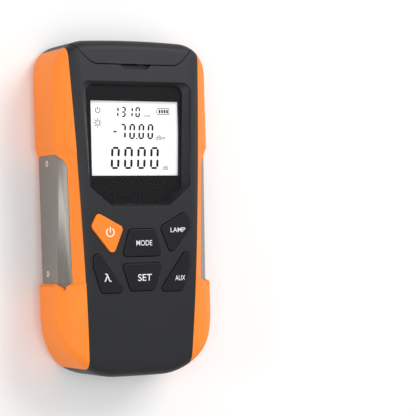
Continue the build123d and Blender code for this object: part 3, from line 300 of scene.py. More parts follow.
def brushed(name, colour, stroke, rough):
    """Metal brushed along its length: stroke is the width of a brush line in mm."""
    material, tree = new_material(name)
    place = add_node(tree, "ShaderNodeTexCoord").outputs["Object"]
    drawn = add_node(
        tree,
        "ShaderNodeMapping",
        {"Vector": place, "Scale": (1.0, BRUSH_STRETCH, 1.0)},
    ).outputs["Vector"]
    lines = add_node(
        tree,
        "ShaderNodeTexNoise",
        {"Vector": drawn, "Scale": 1 / (stroke * MM), "Detail": 4.0, "Roughness": 0.7},
    ).outputs["Fac"]
    tones = add_node(tree, "ShaderNodeValToRGB", {"Fac": lines})
    tones.color_ramp.elements[0].position = NOISE_LOW
    tones.color_ramp.elements[1].position = NOISE_HIGH
    tones.color_ramp.elements[0].color = linear(colour, 0.82)
    tones.color_ramp.elements[1].color = linear(colour, 1.12)
    dull = add_node(
        tree,
        "ShaderNodeMapRange",
        {
            "Value": lines,
            "From Min": NOISE_LOW,
            "From Max": NOISE_HIGH,
            "To Min": rough - GLOSS_SPREAD,
            "To Max": rough + 0.08,
        },
    ).outputs["Result"]
    bump = add_node(
        tree,
        "ShaderNodeBump",
        {"Height": lines, "Strength": 0.35, "Distance": 0.015 * MM},
    ).outputs["Normal"]
    shader = add_node(
        tree,
        "ShaderNodeBsdfPrincipled",
        {
            "Base Color": tones.outputs["Color"],
            "Metallic": 1.0,
            "Roughness": dull,
            "Normal": bump,
        },
    )
    add_node(tree, "ShaderNodeOutputMaterial", {"Surface": shader.outputs["BSDF"]})
    return material


def plain(name, colour, rough, metal=0.0, coat=0.0, glow=0.0, mottle=0.03, grain=1.5, specular=0.5):
    """Smooth part with a faint cloudy change of tone: plating, ink, film or coated board."""
    material, tree = new_material(name)
    place = add_node(tree, "ShaderNodeTexCoord").outputs["Object"]
    cloud = add_node(
        tree,
        "ShaderNodeTexNoise",
        {"Vector": place, "Scale": 1 / (grain * MM), "Detail": 2.0},
    ).outputs["Fac"]
    tones = add_node(tree, "ShaderNodeValToRGB", {"Fac": cloud})
    tones.color_ramp.elements[0].color = linear(colour, 1 - mottle)
    tones.color_ramp.elements[1].color = linear(colour, 1 + mottle)
    dull = add_node(
        tree,
        "ShaderNodeMapRange",
        {"Value": cloud, "To Min": max(0.02, rough - 0.05), "To Max": rough + 0.05},
    ).outputs["Result"]
    inputs = {
        "Base Color": tones.outputs["Color"],
        "Roughness": dull,
        "Metallic": metal,
        "Coat Weight": coat,
        "Coat Roughness": 0.05,
        "Specular IOR Level": specular,
    }
    if glow:
        inputs["Emission Color"] = tones.outputs["Color"]
        inputs["Emission Strength"] = glow
    shader = add_node(tree, "ShaderNodeBsdfPrincipled", inputs)
    add_node(tree, "ShaderNodeOutputMaterial", {"Surface": shader.outputs["BSDF"]})
    return material


def clear_window(name):
    """Hard-coated acrylic window: clear, with only its mirror gloss showing."""
    material, tree = new_material(name)
    gloss = add_node(tree, "ShaderNodeBsdfGlossy", {"Color": (1, 1, 1, 1), "Roughness": 0.03})
    through = add_node(tree, "ShaderNodeBsdfTransparent", {"Color": (0.98, 0.98, 0.98, 1)})
    edge = add_node(tree, "ShaderNodeFresnel", {"IOR": 1.22})
    face = add_node(tree, "ShaderNodeNewGeometry")
    # Only faces turned to the air shine: from inside the sheet, low views would meet a full mirror
    outer = add_node(
        tree,
        "ShaderNodeMath",
        {0: 1.0, 1: face.outputs["Backfacing"]},
        operation="SUBTRACT",
    )
    share = add_node(
        tree,
        "ShaderNodeMath",
        {0: edge.outputs["Fac"], 1: outer.outputs[0]},
        operation="MULTIPLY",
    )
    mixed = add_node(
        tree,
        "ShaderNodeMixShader",
        {0: share.outputs[0], 1: through.outputs["BSDF"], 2: gloss.outputs["BSDF"]},
    )
    add_node(tree, "ShaderNodeOutputMaterial", {"Surface": mixed.outputs["Shader"]})
    return material


def paint(obj, material):
    """Gives an object one material."""
    obj.data.materials.clear()
    obj.data.materials.append(material)


def arc_band(x, y, radius, width, start, stop):
    """Ring of corners of a stroke curved round (x, y), between two angles in degrees."""
    steps = 36
    outer, inner = [], []
    for i in range(steps + 1):
        a = math.radians(start + (stop - start) * i / steps)
        c, s = math.cos(a), math.sin(a)
        outer.append((x + (radius + width / 2) * c, y + (radius + width / 2) * s))
        inner.append((x + (radius - width / 2) * c, y + (radius - width / 2) * s))
    return outer + inner[::-1]


def bar(x0, y0, x1, y1, width):
    """Ring of corners of a straight stroke."""
    length = math.hypot(x1 - x0, y1 - y0)
    nx, ny = -(y1 - y0) / length * width / 2, (x1 - x0) / length * width / 2
    return [(x0 + nx, y0 + ny), (x0 - nx, y0 - ny), (x1 - nx, y1 - ny), (x1 + nx, y1 + ny)]


def box_ring(x0, y0, x1, y1):
    """Ring of corners of an upright rectangle."""
    return [(x0, y0), (x1, y0), (x1, y1), (x0, y1)]


def rounded(corners, count=8):
    """Ring through (x, y, radius) corners with each one rounded."""
    ring = []
    total = len(corners)
    for i, (x, y, radius) in enumerate(corners):
        here = Vector((x, y))
        before = (Vector(corners[i - 1][:2]) - here).normalized()
        after = (Vector(corners[(i + 1) % total][:2]) - here).normalized()
        half = before.angle(after) / 2
        reach = radius / math.tan(half)
        centre = here + (before + after).normalized() * (radius / math.sin(half))
        first = here + before * reach - centre
        last = here + after * reach - centre
        turn = first.angle_signed(last)
        for k in range(count + 1):
            arm = first.copy()
            arm.rotate(Matrix.Rotation(-turn * k / count, 2))
            ring.append(tuple(centre + arm))
    return ring


def mirrored(corners):
    """Both sides of an outline from its right-hand corners, from the top down."""
    return corners + [(-x, *rest) for x, *rest in reversed(corners)]


def flat_mesh(name, rings):
    """Filled flat mesh of closed rings in mm, a ring inside another being a hole."""
    curve = bpy.data.curves.new(name, "CURVE")
    curve.dimensions = "2D"
    curve.fill_mode = "BOTH"
    for ring in rings:
        spline = curve.splines.new("POLY")
        spline.points.add(len(ring) - 1)
        for point, (x, y) in zip(spline.points, ring):
            point.co = (x, y, 0, 1)
        spline.use_cyclic_u = True
    return to_mesh(name, curve)


def text_mesh(name, words, width, height, x, y, weight=0.0):
    """Filled flat lettering, fitted to a box in mm centred on (x, y)."""
    curve = bpy.data.curves.new(name, "FONT")
    curve.body = words
    curve.offset = weight
    curve.resolution_u = 6
    mesh = to_mesh(name, curve)
    xs = [v.co.x for v in mesh.vertices]
    ys = [v.co.y for v in mesh.vertices]
    scale_x = width / (max(xs) - min(xs))
    scale_y = height / (max(ys) - min(ys))
    for v in mesh.vertices:
        v.co.x = x + (v.co.x - (max(xs) + min(xs)) / 2) * scale_x
        v.co.y = y + (v.co.y - (max(ys) + min(ys)) / 2) * scale_y
    return mesh


def to_mesh(name, curve):
    """Mesh of a curve or text, which is then removed."""
    holder = bpy.data.objects.new(name, curve)
    bpy.context.scene.collection.objects.link(holder)
    bpy.context.view_layer.update()
    graph = bpy.context.evaluated_depsgraph_get()
    mesh = bpy.data.meshes.new_from_object(holder.evaluated_get(graph))
    bpy.data.objects.remove(holder)
    return mesh


def join_meshes(meshes):
    """One bmesh of several meshes."""
    work = bmesh.new()
    for mesh in meshes:
        work.from_mesh(mesh)
        bpy.data.meshes.remove(mesh)
    bmesh.ops.remove_doubles(work, verts=work.verts, dist=1e-4)
    return work


def cut_into_squares(work, pitch):
    """Cuts a flat mesh along a grid so that it can follow a curved surface."""
    for axis in (0, 1):
        low = min(v.co[axis] for v in work.verts)
        high = max(v.co[axis] for v in work.verts)
        steps = int((high - low) / pitch)
        for step in range(1, steps + 1):
            point = Vector((0, 0, 0))
            point[axis] = low + step * (high - low) / (steps + 1)
            normal = Vector((0, 0, 0))
            normal[axis] = 1
            geometry = work.verts[:] + work.edges[:] + work.faces[:]
            bmesh.ops.bisect_plane(work, geom=geometry, plane_co=point, plane_no=normal, dist=1e-5)


def thicken(work, low, high):
    """Flat faces into closed plates; low and high give the heights over (x, y), in mm."""
    bmesh.ops.triangulate(work, faces=work.faces)
    for face in work.faces:
        face.normal_update()
        if face.normal.z < 0:
            face.normal_flip()
    top = work.faces[:]
    upper = work.verts[:]
    rim = [loop for face in top for loop in face.loops if len(loop.edge.link_faces) == 1]
    sides = [(loop.vert, loop.link_loop_next.vert) for loop in rim]
    below = {v: work.verts.new(v.co) for v in upper}
    for face in top:
        work.faces.new([below[v] for v in reversed(face.verts[:])])
    for a, b in sides:
        work.faces.new((b, a, below[a], below[b]))
    for v in upper:
        x, y = v.co.x, v.co.y
        v.co.z = high(x, y)
        below[v].co.z = low(x, y)


def solid_plate(name, meshes, low, high, material, pitch=None):
    """Closed thin plate between two heights, in metres, as a finished object."""
    work = join_meshes(meshes)
    if pitch:
        cut_into_squares(work, pitch)
    thicken(work, low, high)
    bmesh.ops.scale(work, vec=(MM, MM, MM), verts=work.verts)
    mesh = bpy.data.meshes.new(name)
    work.to_mesh(mesh)
    work.free()
    obj = bpy.data.objects.new(name, mesh)
    bpy.context.scene.collection.objects.link(obj)
    paint(obj, material)
    return obj


def surface_of(node):
    """Search tree of a CAD piece, in mm."""
    mesh = NODES[node].data
    points = [v.co / MM for v in mesh.vertices]
    return BVHTree.FromPolygons(points, [p.vertices[:] for p in mesh.polygons])


def height_over(tree, lift):
    """Height of a piece's upper surface over (x, y), lifted by a film, in mm."""
    overhead = 200

    def height(x, y):
        hit = tree.ray_cast(Vector((x, y, overhead)), Vector((0, 0, -1)))[0]
        if hit is None:
            raise RuntimeError(f"no surface at {x:.2f}, {y:.2f}")
        return hit.z + lift

    return height


def level(z):
    """The same height everywhere."""
    return lambda x, y: z


class MeterFinishes(bpy.types.PropertyGroup):
    """Colours of the meter's pieces"""

    shell: bpy.props.StringProperty(
        name="Shell", description="Colour of the dark housing", default="1D1E22"
    )
    grip: bpy.props.StringProperty(
        name="Grip", description="Colour of the rubber grips", default="FF8A2F"
    )
    key: bpy.props.StringProperty(
        name="Key", description="Colour of the dark keys", default="151619"
    )
    plate: bpy.props.StringProperty(
        name="Plate", description="Colour of the brushed plates", default="8F8B85"
    )
    grain: bpy.props.FloatProperty(
        name="Grain",
        description="Pitch of the mould texture in millimetres",
        default=0.45,
        min=0.1,
        max=2.0,
    )


class MeterStage(bpy.types.PropertyGroup):
    """Camera and floor"""

    place: bpy.props.FloatVectorProperty(
        name="Camera place",
        description="Where the camera stands",
        default=(-0.43595, -0.01847, 0.92558),
        subtype="XYZ",
        unit="LENGTH",
        precision=5,
    )
    turn: bpy.props.FloatProperty(
        name="Turn",
        description="Camera angle round the meter's long axis",
        default=math.radians(28.518),
        subtype="ANGLE",
    )
    tilt: bpy.props.FloatProperty(
        name="Tilt",
        description="Camera angle towards the meter's ends",
        default=math.radians(-1.017),
        subtype="ANGLE",
    )
    roll: bpy.props.FloatProperty(
        name="Roll",
        description="Camera turned about its own axis",
        default=math.radians(-1.321),
        subtype="ANGLE",
    )
    lens: bpy.props.FloatProperty(
        name="Lens", description="Focal length in millimetres", default=153.4, min=20, max=400
    )
    floor: bpy.props.FloatProperty(
        name="Floor", description="Half width of the floor", default=4.0, min=1, unit="LENGTH"
    )


FINISHES = {}


class METER_OT_finishes(bpy.types.Operator):
    """Makes the materials and gives each CAD piece its finish"""

    bl_idname = "meter.finishes"
    bl_label = "Finishes"

    def execute(self, context):
        look = context.scene.meter_finishes
        # ABS housing from a spark-eroded mould: an even matt sheen, drawn coarser than real to show
        FINISHES["shell"] = moulded(
            "moulded_abs_charcoal", look.shell, look.grain, 0.05, 0.5, specular=0.35
        )
        # Soft thermoplastic rubber moulded over the core: dull, with a broad soft highlight
        FINISHES["grip"] = moulded(
            "overmoulded_rubber_orange", look.grip, 0.6, 0.05, 0.55, mottle=0.03, specular=0.25
        )
        # Satin moulded key caps, smoother than the housing around them
        FINISHES["key"] = moulded("moulded_key_black", look.key, 0.5, 0.03, 0.42, specular=0.25)
        FINISHES["power_key"] = moulded(
            "moulded_key_orange", "FF8426", 0.5, 0.03, 0.4, mottle=0.02, specular=0.3
        )
        # Stainless plates brushed along their length: fine long lines under a stretched gloss
        FINISHES["plate"] = brushed("brushed_stainless", look.plate, 0.25, 0.34)
        # Zinc-plated small screws: pale satin dots on the darker plates
        FINISHES["screw"] = plain("zinc_plated_steel", "E9E6E2", 0.4, metal=1.0)
        # Painted shade of those screws' drive sockets: a dark hexagon in each head
        FINISHES["socket"] = plain("screw_socket_shade", "4A4645", 0.6, specular=0.2)
        # Nickel-plated turned parts of the port: bright, with a sharp warm gloss
        FINISHES["port"] = plain("nickel_plated_brass", "C9C7C0", 0.22, metal=1.0)
        # Phosphor bronze springs and sleeve: a brown-gold metal, softly polished
        FINISHES["bronze"] = plain("phosphor_bronze", "B98A4C", 0.3, metal=1.0)
        # Clear acrylic window over the display: only its reflections are seen
        FINISHES["window"] = clear_window("clear_acrylic")
        # Reflective display, paper-white and dull; its faint glow is painted light that keeps it
        # white in the shade of its recess
        FINISHES["lcd"] = plain("display_polariser", "F4F6F5", 0.45, glow=0.22, mottle=0.01, grain=20)
        # Moulded light guide behind the display: milky white
        FINISHES["backlight"] = plain("light_guide_white", "F2F2EE", 0.5)
        # Green lacquer of the circuit boards: a wet gloss over a mottled ground
        FINISHES["board"] = plain("solder_resist_green", "1C5A34", 0.35, coat=0.4, mottle=0.1)
        # Moulded epoxy of chips and switches: flat grey-black
        FINISHES["chip"] = plain("epoxy_package_black", "1A1A1C", 0.5)
        # Shrunk plastic jacket of the cells: dark, with a glossy film over it
        FINISHES["cell"] = plain("cell_jacket_film", "33363C", 0.3, coat=0.3)
        # Cast epoxy lens of the lamp: pale, smooth and shining
        FINISHES["lamp"] = plain("lamp_epoxy_clear", "DDE2E6", 0.12, coat=0.6)
        # Back-printed black border of the window: an even black that barely shines
        FINISHES["mask"] = plain(
            "back_printed_black", "101013", 0.5, mottle=0.02, grain=30, specular=0.1
        )
        # Inks of the display: near-black figures, dark grey signs and paler units
        FINISHES["figure"] = plain("display_figure_black", "060607", 0.5, specular=0.2)
        FINISHES["symbol"] = plain("display_symbol_grey", "393B3E", 0.5)
        FINISHES["faint"] = plain("display_unit_grey", "909294", 0.5)
        # Pad-printed white of the key legends: a thin chalky ink
        FINISHES["legend"] = plain("pad_print_white", "F2F2F2", 0.45)
        # Printed film of the back label: a smooth dark ground, an orange line and pale fields
        FINISHES["film_dark"] = plain("label_film_dark", "2B2C30", 0.35, mottle=0.05)
        FINISHES["film_line"] = plain("label_film_orange", "F07C2C", 0.4)
        FINISHES["film_pale"] = plain("label_film_pale", "E6E7E8", 0.4)

        finish_of = {
            "front_shell": "shell",
            "back_shell": "shell",
            "top_cap": "shell",
            "port_panel": "shell",
            "lcd_frame": "shell",
            "kickstand": "shell",
            "battery_door": "shell",
            "left_grip": "grip",
            "right_grip": "grip",
            "usb_plug": "grip",
            "power_key": "power_key",
            "left_side_plate": "plate",
            "right_side_plate": "plate",
            "port_barrel": "port",
            "port_nut": "port",
            "usb_socket": "port",
            "ferrule_sleeve": "bronze",
            "photodiode": "port",
            "lamp_led": "lamp",
            "display_lens": "window",
            "lcd_glass": "lcd",
            "backlight": "backlight",
            "main_board": "board",
            "charge_board": "board",
            "processor": "chip",
        }
        by_start = {
            "battery_cell": "cell",
            "battery_contact": "bronze",
            "key_switch": "chip",
        }
        for name, node in NODES.items():
            finish = finish_of.get(name)
            if finish is None:
                finish = next((f for start, f in by_start.items() if name.startswith(start)), None)
            if finish is None and (name.endswith("screws") or name.endswith("pin")):
                finish = "screw"
            if finish is None and name.endswith("_key"):
                finish = "key"
            if finish is None:
                raise RuntimeError(f"no finish for {name}")
            paint(node, FINISHES[finish])
        return {"FINISHED"}


def bar_tree():
    """Geometry nodes that set one bar of a figure on each point, turned and stretched."""
    tree = bpy.data.node_groups.new("figure_bars", "GeometryNodeTree")
    for label, kind in (
        ("Geometry", "Geometry"),
        ("Blank", "Object"),
        ("Thickness", "Float"),
        ("Finish", "Material"),
    ):
        tree.interface.new_socket(label, in_out="INPUT", socket_type="NodeSocket" + kind)
    tree.interface.new_socket("Geometry", in_out="OUTPUT", socket_type="NodeSocketGeometry")
    given = add_node(tree, "NodeGroupInput").outputs
    blank = add_node(tree, "GeometryNodeObjectInfo", {"Object": given["Blank"]})
    turn, reach, width = [
        add_node(
            tree, "GeometryNodeInputNamedAttribute", {"Name": label}, data_type="FLOAT"
        ).outputs["Attribute"]
        for label in ("turn", "reach", "width")
    ]
    angles = add_node(tree, "ShaderNodeCombineXYZ", {"Z": turn})
    rotation = add_node(tree, "FunctionNodeEulerToRotation", {0: angles.outputs["Vector"]})
    scale = add_node(
        tree,
        "ShaderNodeCombineXYZ",
        {"X": reach, "Y": width, "Z": given["Thickness"]},
    )
    placed = add_node(
        tree,
        "GeometryNodeInstanceOnPoints",
        {
            "Points": given["Geometry"],
            "Instance": blank.outputs["Geometry"],
            "Rotation": rotation.outputs[0],
            "Scale": scale.outputs["Vector"],
        },
    )
    real = add_node(tree, "GeometryNodeRealizeInstances", {"Geometry": placed.outputs["Instances"]})
    dressed = add_node(
        tree,
        "GeometryNodeSetMaterial",
        {"Geometry": real.outputs["Geometry"], "Material": given["Finish"]},
    )
    add_node(tree, "NodeGroupOutput", {"Geometry": dressed.outputs["Geometry"]})
    return tree


def bar_blank():
    """Unit bar with pointed ends, one unit thick."""
    work = bmesh.new()
    end = 0.5 - BAR_TIP
    ring = [(-0.5, 0), (-end, -0.5), (end, -0.5), (0.5, 0), (end, 0.5), (-end, 0.5)]
    low = [work.verts.new((x, y, 0)) for x, y in ring]
    high = [work.verts.new((x, y, 1)) for x, y in ring]
    work.faces.new(low[::-1])
    work.faces.new(high)
    for i in range(len(ring)):
        j = (i + 1) % len(ring)
        work.faces.new((low[i], low[j], high[j], high[i]))
    mesh = bpy.data.meshes.new("bar_blank")
    work.to_mesh(mesh)
    work.free()
    blank = bpy.data.objects.new("bar_blank", mesh)
    bpy.context.scene.collection.objects.link(blank)
    return blank


def bars_object(name, bars, height, thickness, material, tree, blank):
    """Plain mesh of bars given as (x, y, turn, length, width) in mm."""
    mesh = bpy.data.meshes.new(name)
    mesh.from_pydata([(x * MM, y * MM, height * MM) for x, y, *rest in bars], [], [])
    for column, label in ((2, "turn"), (3, "reach"), (4, "width")):
        unit = 1.0 if label == "turn" else MM
        layer = mesh.attributes.new(label, "FLOAT", "POINT")
        layer.data.foreach_set("value", [b[column] * unit for b in bars])
    points = bpy.data.objects.new(name + "_points", mesh)
    bpy.context.scene.collection.objects.link(points)
    modifier = points.modifiers.new("bars", "NODES")
    modifier.node_group = tree
    sockets = {s.name: s.identifier for s in tree.interface.items_tree if s.in_out == "INPUT"}
    modifier[sockets["Blank"]] = blank
    modifier[sockets["Thickness"]] = thickness * MM
    modifier[sockets["Finish"]] = material
    bpy.context.view_layer.update()
    graph = bpy.context.evaluated_depsgraph_get()
    plain_mesh = bpy.data.meshes.new_from_object(points.evaluated_get(graph))
    bpy.data.objects.remove(points)
    made = bpy.data.objects.new(name, plain_mesh)
    bpy.context.scene.collection.objects.link(made)
    return made


def figure_bars(words, left, low, width, height, pitch, stroke):
    """Bars of a row of figures; a full stop sits between two of them."""
    upright = math.pi / 2 - math.atan(FIGURE_SLANT)
    reach, rise = (width - stroke) / 2, height * UPRIGHT_RISE
    reach_up = (height - stroke) / 2
    level_bar = (0.0, width - stroke * LEVEL_ROOM, stroke * LEVEL_WIDTH)
    upright_bar = (upright, height * UPRIGHT_LENGTH, stroke)
    bars_of = {
        "a": (0, reach_up, *level_bar),
        "d": (0, -reach_up, *level_bar),
        "g": (0, 0, *level_bar),
        "b": (reach, rise, *upright_bar),
        "f": (-reach, rise, *upright_bar),
        "c": (reach, -rise, *upright_bar),
        "e": (-reach, -rise, *upright_bar),
    }
    bars = []
    x = left
    for letter in words:
        if letter == ".":
            stop = stroke * STOP_SIZE
            bars.append((x - (pitch - width) / 2, low + stop / 2, 0.0, stop, stop))
            continue
        for key in FIGURE_BARS[letter]:
            right, up, *rest = bars_of[key]
            across = x + width / 2 + right + FIGURE_SLANT * up
            bars.append((across, low + height / 2 + up, *rest))
        x += pitch
    return bars


class METER_OT_display(bpy.types.Operator):
    """Prints the window's border and sets the figures and symbols on the display"""

    bl_idname = "meter.display"
    bl_label = "Display"

    def execute(self, context):
        self.print_border()
        self.set_figures()
        self.print_symbols()
        self.print_units()
        return {"FINISHED"}

    def print_border(self):
        """Black border on the back of the window."""
        border = rounded(mirrored([(x, y + LENS_TOP, r) for x, y, r in LENS_CORNERS]))
        left, low, right, high = MASK_OPENING
        opening = box_ring(left, low + GLASS_Y, right, high + GLASS_Y)
        piece = solid_plate(
            "window_border",
            [flat_mesh("window_border", [border, opening])],
            level(MASK_HEIGHT - INK_THICKNESS),
            level(MASK_HEIGHT),
            FINISHES["mask"],
        )
        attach(piece, "housing")

    def set_figures(self):
        """Three rows of figures, the minus sign and the battery's bars."""
        dx, dy = FIGURE_SHIFT, GLASS_Y
        bars = []
        for words, left, low, width, height, pitch, stroke in FIGURE_ROWS:
            bars += figure_bars(words, left + dx, low + dy, width, height, pitch, stroke)
        x, y = MINUS_SIGN
        bars.append((x + dx, y + dy, 0.0, *MINUS_SIZE))
        x, y = BATTERY_BAR
        for i in range(BATTERY_BARS):
            bars.append((x + i * BATTERY_PITCH + dx, y + dy, math.pi / 2, *BATTERY_BAR_SIZE))
        blank = bar_blank()
        figures = bars_object(
            "display_figures",
            bars,
            FIGURE_HEIGHT,
            INK_THICKNESS,
            FINISHES["figure"],
            bar_tree(),
            blank,
        )
        bpy.data.objects.remove(blank)
        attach(figures, "housing")

    def print_symbols(self):
        """Power mark, sun and battery, in thin strokes."""
        dx, dy = FIGURE_SHIFT, GLASS_Y
        x, y = POWER_MARK[0] + dx, POWER_MARK[1] + dy
        symbols = [
            arc_band(x, y, POWER_RADIUS, MARK_STROKE, 120, 420),
            bar(x, y + 0.1, x, y + 1.8, MARK_STROKE),
        ]
        x, y = SUN_MARK[0] + dx, SUN_MARK[1] + dy
        symbols.append(arc_band(x, y, SUN_RADIUS, 0.4, 0, 359.9))
        for i in range(SUN_RAYS):
            a = i * math.tau / SUN_RAYS
            c, s = math.cos(a), math.sin(a)
            near = (x + RAY_START * c, y + RAY_START * s)
            far = (x + RAY_END * c, y + RAY_END * s)
            symbols.append(bar(*near, *far, MARK_STROKE))
        outline = [(x + dx, y + dy) for x, y in BATTERY_OUTLINE]
        for (x0, y0), (x1, y1) in zip(outline, outline[1:] + outline[:1]):
            symbols.append(bar(x0, y0, x1, y1, BATTERY_STROKE))
        marks = solid_plate(
            "display_symbols",
            [flat_mesh("symbol", [ring]) for ring in symbols],
            level(FIGURE_HEIGHT),
            level(FIGURE_HEIGHT + INK_THICKNESS),
            FINISHES["symbol"],
        )
        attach(marks, "housing")

    def print_units(self):
        """Unit beside each row of figures."""
        units = [
            text_mesh("unit", letters, width, height, x + FIGURE_SHIFT, y + GLASS_Y, UNIT_WEIGHT)
            for letters, width, height, x, y in UNITS
        ]
        faint = solid_plate(
            "display_units",
            units,
            level(FIGURE_HEIGHT),
            level(FIGURE_HEIGHT + INK_THICKNESS),
            FINISHES["faint"],
        )
        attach(faint, "housing")


class METER_OT_legends(bpy.types.Operator):
    """Pad-prints a legend on each key, following its curved top"""

    bl_idname = "meter.legends"
    bl_label = "Key legends"

    def execute(self, context):
        for key, letters, width, height, x, y, weight in LEGENDS:
            self.print_on(key, [text_mesh("legend", letters, width, height, x, y + KEYS_Y, weight)])
        x, y = POWER_LEGEND[0], POWER_LEGEND[1] + KEYS_Y
        rings = [
            arc_band(x, y, 2.3, POWER_STROKE, 125, 415),
            bar(x, y - 0.1, x, y + 2.9, POWER_STROKE),
        ]
        self.print_on("power_key", [flat_mesh("legend", [ring]) for ring in rings])
        return {"FINISHED"}

    def print_on(self, key, meshes):
        """Lays flat lettering on a key's top as a thin film."""
        tree = surface_of(key)
        piece = solid_plate(
            key + "_legend",
            meshes,
            height_over(tree, -LEGEND_LIFT),
            height_over(tree, LEGEND_LIFT),
            FINISHES["legend"],
            pitch=LEGEND_PITCH,
        )
        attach(piece, key.replace("_key", "_button"))


class METER_OT_plates(bpy.types.Operator):
    """Eases the side plates' outer edges and paints shade into their screws' sockets"""

    bl_idname = "meter.plates"
    bl_label = "Side plates"

    def execute(self, context):
        screws = [v.co / MM for v in NODES["side_plate_screws"].data.vertices]
        for node, side in (("left_side_plate", -1), ("right_side_plate", 1)):
            piece = self.eased(node, side)
            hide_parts(node)
            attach(piece, "housing")
            mine = [p for p in screws if p.x * side > 0]
            face = max(p.x * side for p in mine)
            heads = [p for p in mine if p.x * side > face - HEAD_DEPTH]
            half = self.middle([p.y for p in heads])
            places = []
            for above in (True, False):
                head = [p for p in heads if (p.y > half) == above]
                reach = max(p.x * side for p in head)
                places.append(
                    (reach, self.middle([p.y for p in head]), self.middle([p.z for p in head]))
                )
            self.sockets(node + "_screw_sockets", places, side)
        return {"FINISHED"}

    def middle(self, values):
        """Half way between the least and the greatest."""
        return (max(values) + min(values)) / 2

    def eased(self, node, side):
        """Copy of a plate with the edges round its outer face rounded off."""
        work = bmesh.new()
        work.from_mesh(NODES[node].data)
        bmesh.ops.remove_doubles(work, verts=work.verts, dist=1e-6)
        bmesh.ops.dissolve_limit(
            work, angle_limit=math.radians(1.0), verts=work.verts[:], edges=work.edges[:]
        )
        # An edge to ease joins the face that looks outwards to a side wall
        outer = []
        for edge in work.edges:
            if len(edge.link_faces) != 2 or edge.calc_face_angle() < SHARP_ANGLE:
                continue
            rim, face = sorted(f.normal.x * side for f in edge.link_faces)
            if face > 0.5 and abs(rim) < 0.4:
                outer.append(edge)
        bmesh.ops.bevel(
            work,
            geom=outer,
            offset=PLATE_EDGE * MM,
            segments=2,
            profile=0.5,
            affect="EDGES",
            clamp_overlap=True,
        )
        mesh = bpy.data.meshes.new(node + "_eased")
        work.to_mesh(mesh)
        work.free()
        piece = bpy.data.objects.new(node + "_eased", mesh)
        bpy.context.scene.collection.objects.link(piece)
        paint(piece, FINISHES["plate"])
        return piece

    def sockets(self, name, places, side):
        """Dark hexagons on the screw heads, painted shade of their drive sockets, given as (reach, y,
        z) in mm.
        """
        work = bmesh.new()
        for reach, y, z in places:
            turn = Matrix.Rotation(math.radians(90 * side), 4, "Y")
            move = Matrix.Translation((side * (reach + INK_THICKNESS / 2), y, z))
            bmesh.ops.create_cone(
                work,
                cap_ends=True,
                segments=6,
                radius1=SOCKET_SHADE_RADIUS,
                radius2=SOCKET_SHADE_RADIUS,
                depth=INK_THICKNESS,
                matrix=move @ turn,
            )
        bmesh.ops.scale(work, vec=(MM, MM, MM), verts=work.verts)
        mesh = bpy.data.meshes.new(name)
        work.to_mesh(mesh)
        work.free()
        piece = bpy.data.objects.new(name, mesh)
        bpy.context.scene.collection.objects.link(piece)
        paint(piece, FINISHES["socket"])
        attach(piece, "housing")


class METER_OT_label(bpy.types.Operator):
    """Lays the blank printed label on the battery door"""

    bl_idname = "meter.label"
    bl_label = "Back label"

    def execute(self, context):
        line = flat_mesh("line", [self.outline(0.0, 0.0), self.outline(*FRAME_INSETS)])
        panel = flat_mesh("panel", [self.outline(*FRAME_INSETS)])
        fields = []
        for upper, lower, inset_left, inset_right in LABEL_FIELDS:
            reach = self.half_width(LABEL_TOP - (upper + lower) / 2)
            fields.append(
                box_ring(
                    inset_left - reach, LABEL_TOP - lower, reach - inset_right, LABEL_TOP - upper
                )
            )
        left, low, right, high = SHORT_FIELD
        fields.append(box_ring(left, LABEL_TOP + low, right, LABEL_TOP + high))
        light = [flat_mesh("field", [ring]) for ring in fields]
        for name, meshes, drop, finish in (
            ("label_line", [line], PANEL_FILM, "film_line"),
            ("label_panel", [panel], PANEL_FILM, "film_dark"),
            ("label_fields", light, FIELD_FILM, "film_pale"),
        ):
            piece = solid_plate(name, meshes, level(-drop), level(0.0), FINISHES[finish])
            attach(piece, "door")
        return {"FINISHED"}

    def half_width(self, y):
        """Half the label's width, which narrows towards its foot."""
        share = (y - LABEL_FOOT) / (LABEL_TOP - LABEL_FOOT)
        return LABEL_NARROW + (LABEL_WIDE - LABEL_NARROW) * share

    def outline(self, inset, low_inset):
        """Ring of corners of the label's outline, set in at its sides and foot."""
        corners = [
            (self.half_width(y) - inset, y, LABEL_RADIUS)
            for y in (LABEL_TOP - inset, LABEL_FOOT + low_inset)
        ]
        return rounded(mirrored(corners), 4)


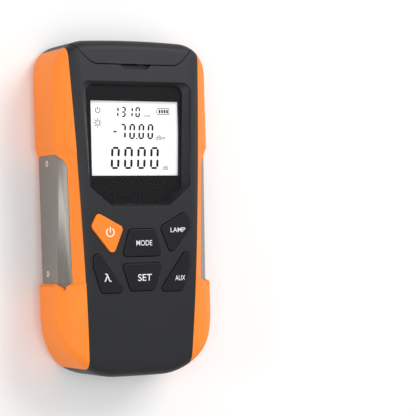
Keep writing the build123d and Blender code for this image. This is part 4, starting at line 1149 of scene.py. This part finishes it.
class METER_OT_stage(bpy.types.Operator):
    """Sets the floor, the soft studio light and the camera"""

    bl_idname = "meter.stage"
    bl_label = "Stage"

    def execute(self, context):
        settings = context.scene.meter_stage
        scene = context.scene
        reach = settings.floor
        mesh = bpy.data.meshes.new("studio_floor")
        low = -FLOOR_DROP * MM
        mesh.from_pydata(
            [(-reach, -reach, low), (reach, -reach, low), (reach, reach, low), (-reach, reach, low)],
            [],
            [(0, 1, 2, 3)],
        )
        floor = bpy.data.objects.new("studio_floor", mesh)
        scene.collection.objects.link(floor)
        paint(floor, plain("matt_white_paper", "F4F4F4", 0.9, mottle=0.01, grain=60))

        world = bpy.data.worlds.new("studio_surround")
        world.use_nodes = True
        world.node_tree.nodes.clear()
        sky = add_node(
            world.node_tree, "ShaderNodeBackground", {"Color": (1, 1, 1, 1), "Strength": 0.55}
        )
        add_node(world.node_tree, "ShaderNodeOutputWorld", {"Surface": sky.outputs["Background"]})
        scene.world = world

        for name, place, size, power in LIGHTS:
            lamp = bpy.data.lights.new(name, "AREA")
            lamp.size = size
            lamp.energy = power
            holder = bpy.data.objects.new(name, lamp)
            holder.location = place
            aim = Vector(BODY_MIDDLE) - Vector(place)
            holder.rotation_euler = aim.to_track_quat("-Z", "Y").to_euler()
            scene.collection.objects.link(holder)

        camera = bpy.data.cameras.new("camera")
        camera.lens = settings.lens
        camera.sensor_width = 36.0
        camera.clip_start, camera.clip_end = 0.05, 20.0
        turn, tilt, roll = settings.turn, settings.tilt, settings.roll
        ahead = Vector(
            (math.sin(turn) * math.cos(tilt), -math.sin(tilt), -math.cos(turn) * math.cos(tilt))
        )
        right = ahead.cross(Vector((0, 1, 0))).normalized()
        up = right.cross(ahead)
        right, up = (
            math.cos(roll) * right + math.sin(roll) * up,
            math.cos(roll) * up - math.sin(roll) * right,
        )
        turned = Matrix((right, up, -ahead)).transposed()
        eye = bpy.data.objects.new("camera", camera)
        eye.matrix_world = Matrix.Translation(settings.place) @ turned.to_4x4()
        scene.collection.objects.link(eye)
        scene.camera = eye
        scene.view_settings.view_transform = "Standard"
        return {"FINISHED"}


class METER_PT_panel(bpy.types.Panel):
    """Lists the steps that dress the meter"""

    bl_idname = "METER_PT_panel"
    bl_label = "Meter"
    bl_space_type = "VIEW_3D"
    bl_region_type = "UI"
    bl_category = "Meter"

    def draw(self, context):
        column = self.layout.column()
        for operator in OPERATORS:
            column.operator(operator.bl_idname)
        for group in (context.scene.meter_finishes, context.scene.meter_stage):
            for name in group.__annotations__:
                column.prop(group, name)


OPERATORS = (
    METER_OT_finishes,
    METER_OT_display,
    METER_OT_legends,
    METER_OT_plates,
    METER_OT_label,
    METER_OT_stage,
)
CLASSES = (MeterFinishes, MeterStage, *OPERATORS, METER_PT_panel)


def register():
    for item in CLASSES:
        bpy.utils.register_class(item)
    bpy.types.Scene.meter_finishes = bpy.props.PointerProperty(type=MeterFinishes)
    bpy.types.Scene.meter_stage = bpy.props.PointerProperty(type=MeterStage)


def unregister():
    del bpy.types.Scene.meter_stage
    del bpy.types.Scene.meter_finishes
    for item in reversed(CLASSES):
        bpy.utils.unregister_class(item)


def main():
    register()
    bpy.ops.meter.finishes()
    bpy.ops.meter.display()
    bpy.ops.meter.legends()
    bpy.ops.meter.plates()
    bpy.ops.meter.label()
    bpy.ops.meter.stage()


if __name__ == "__main__":
    main()
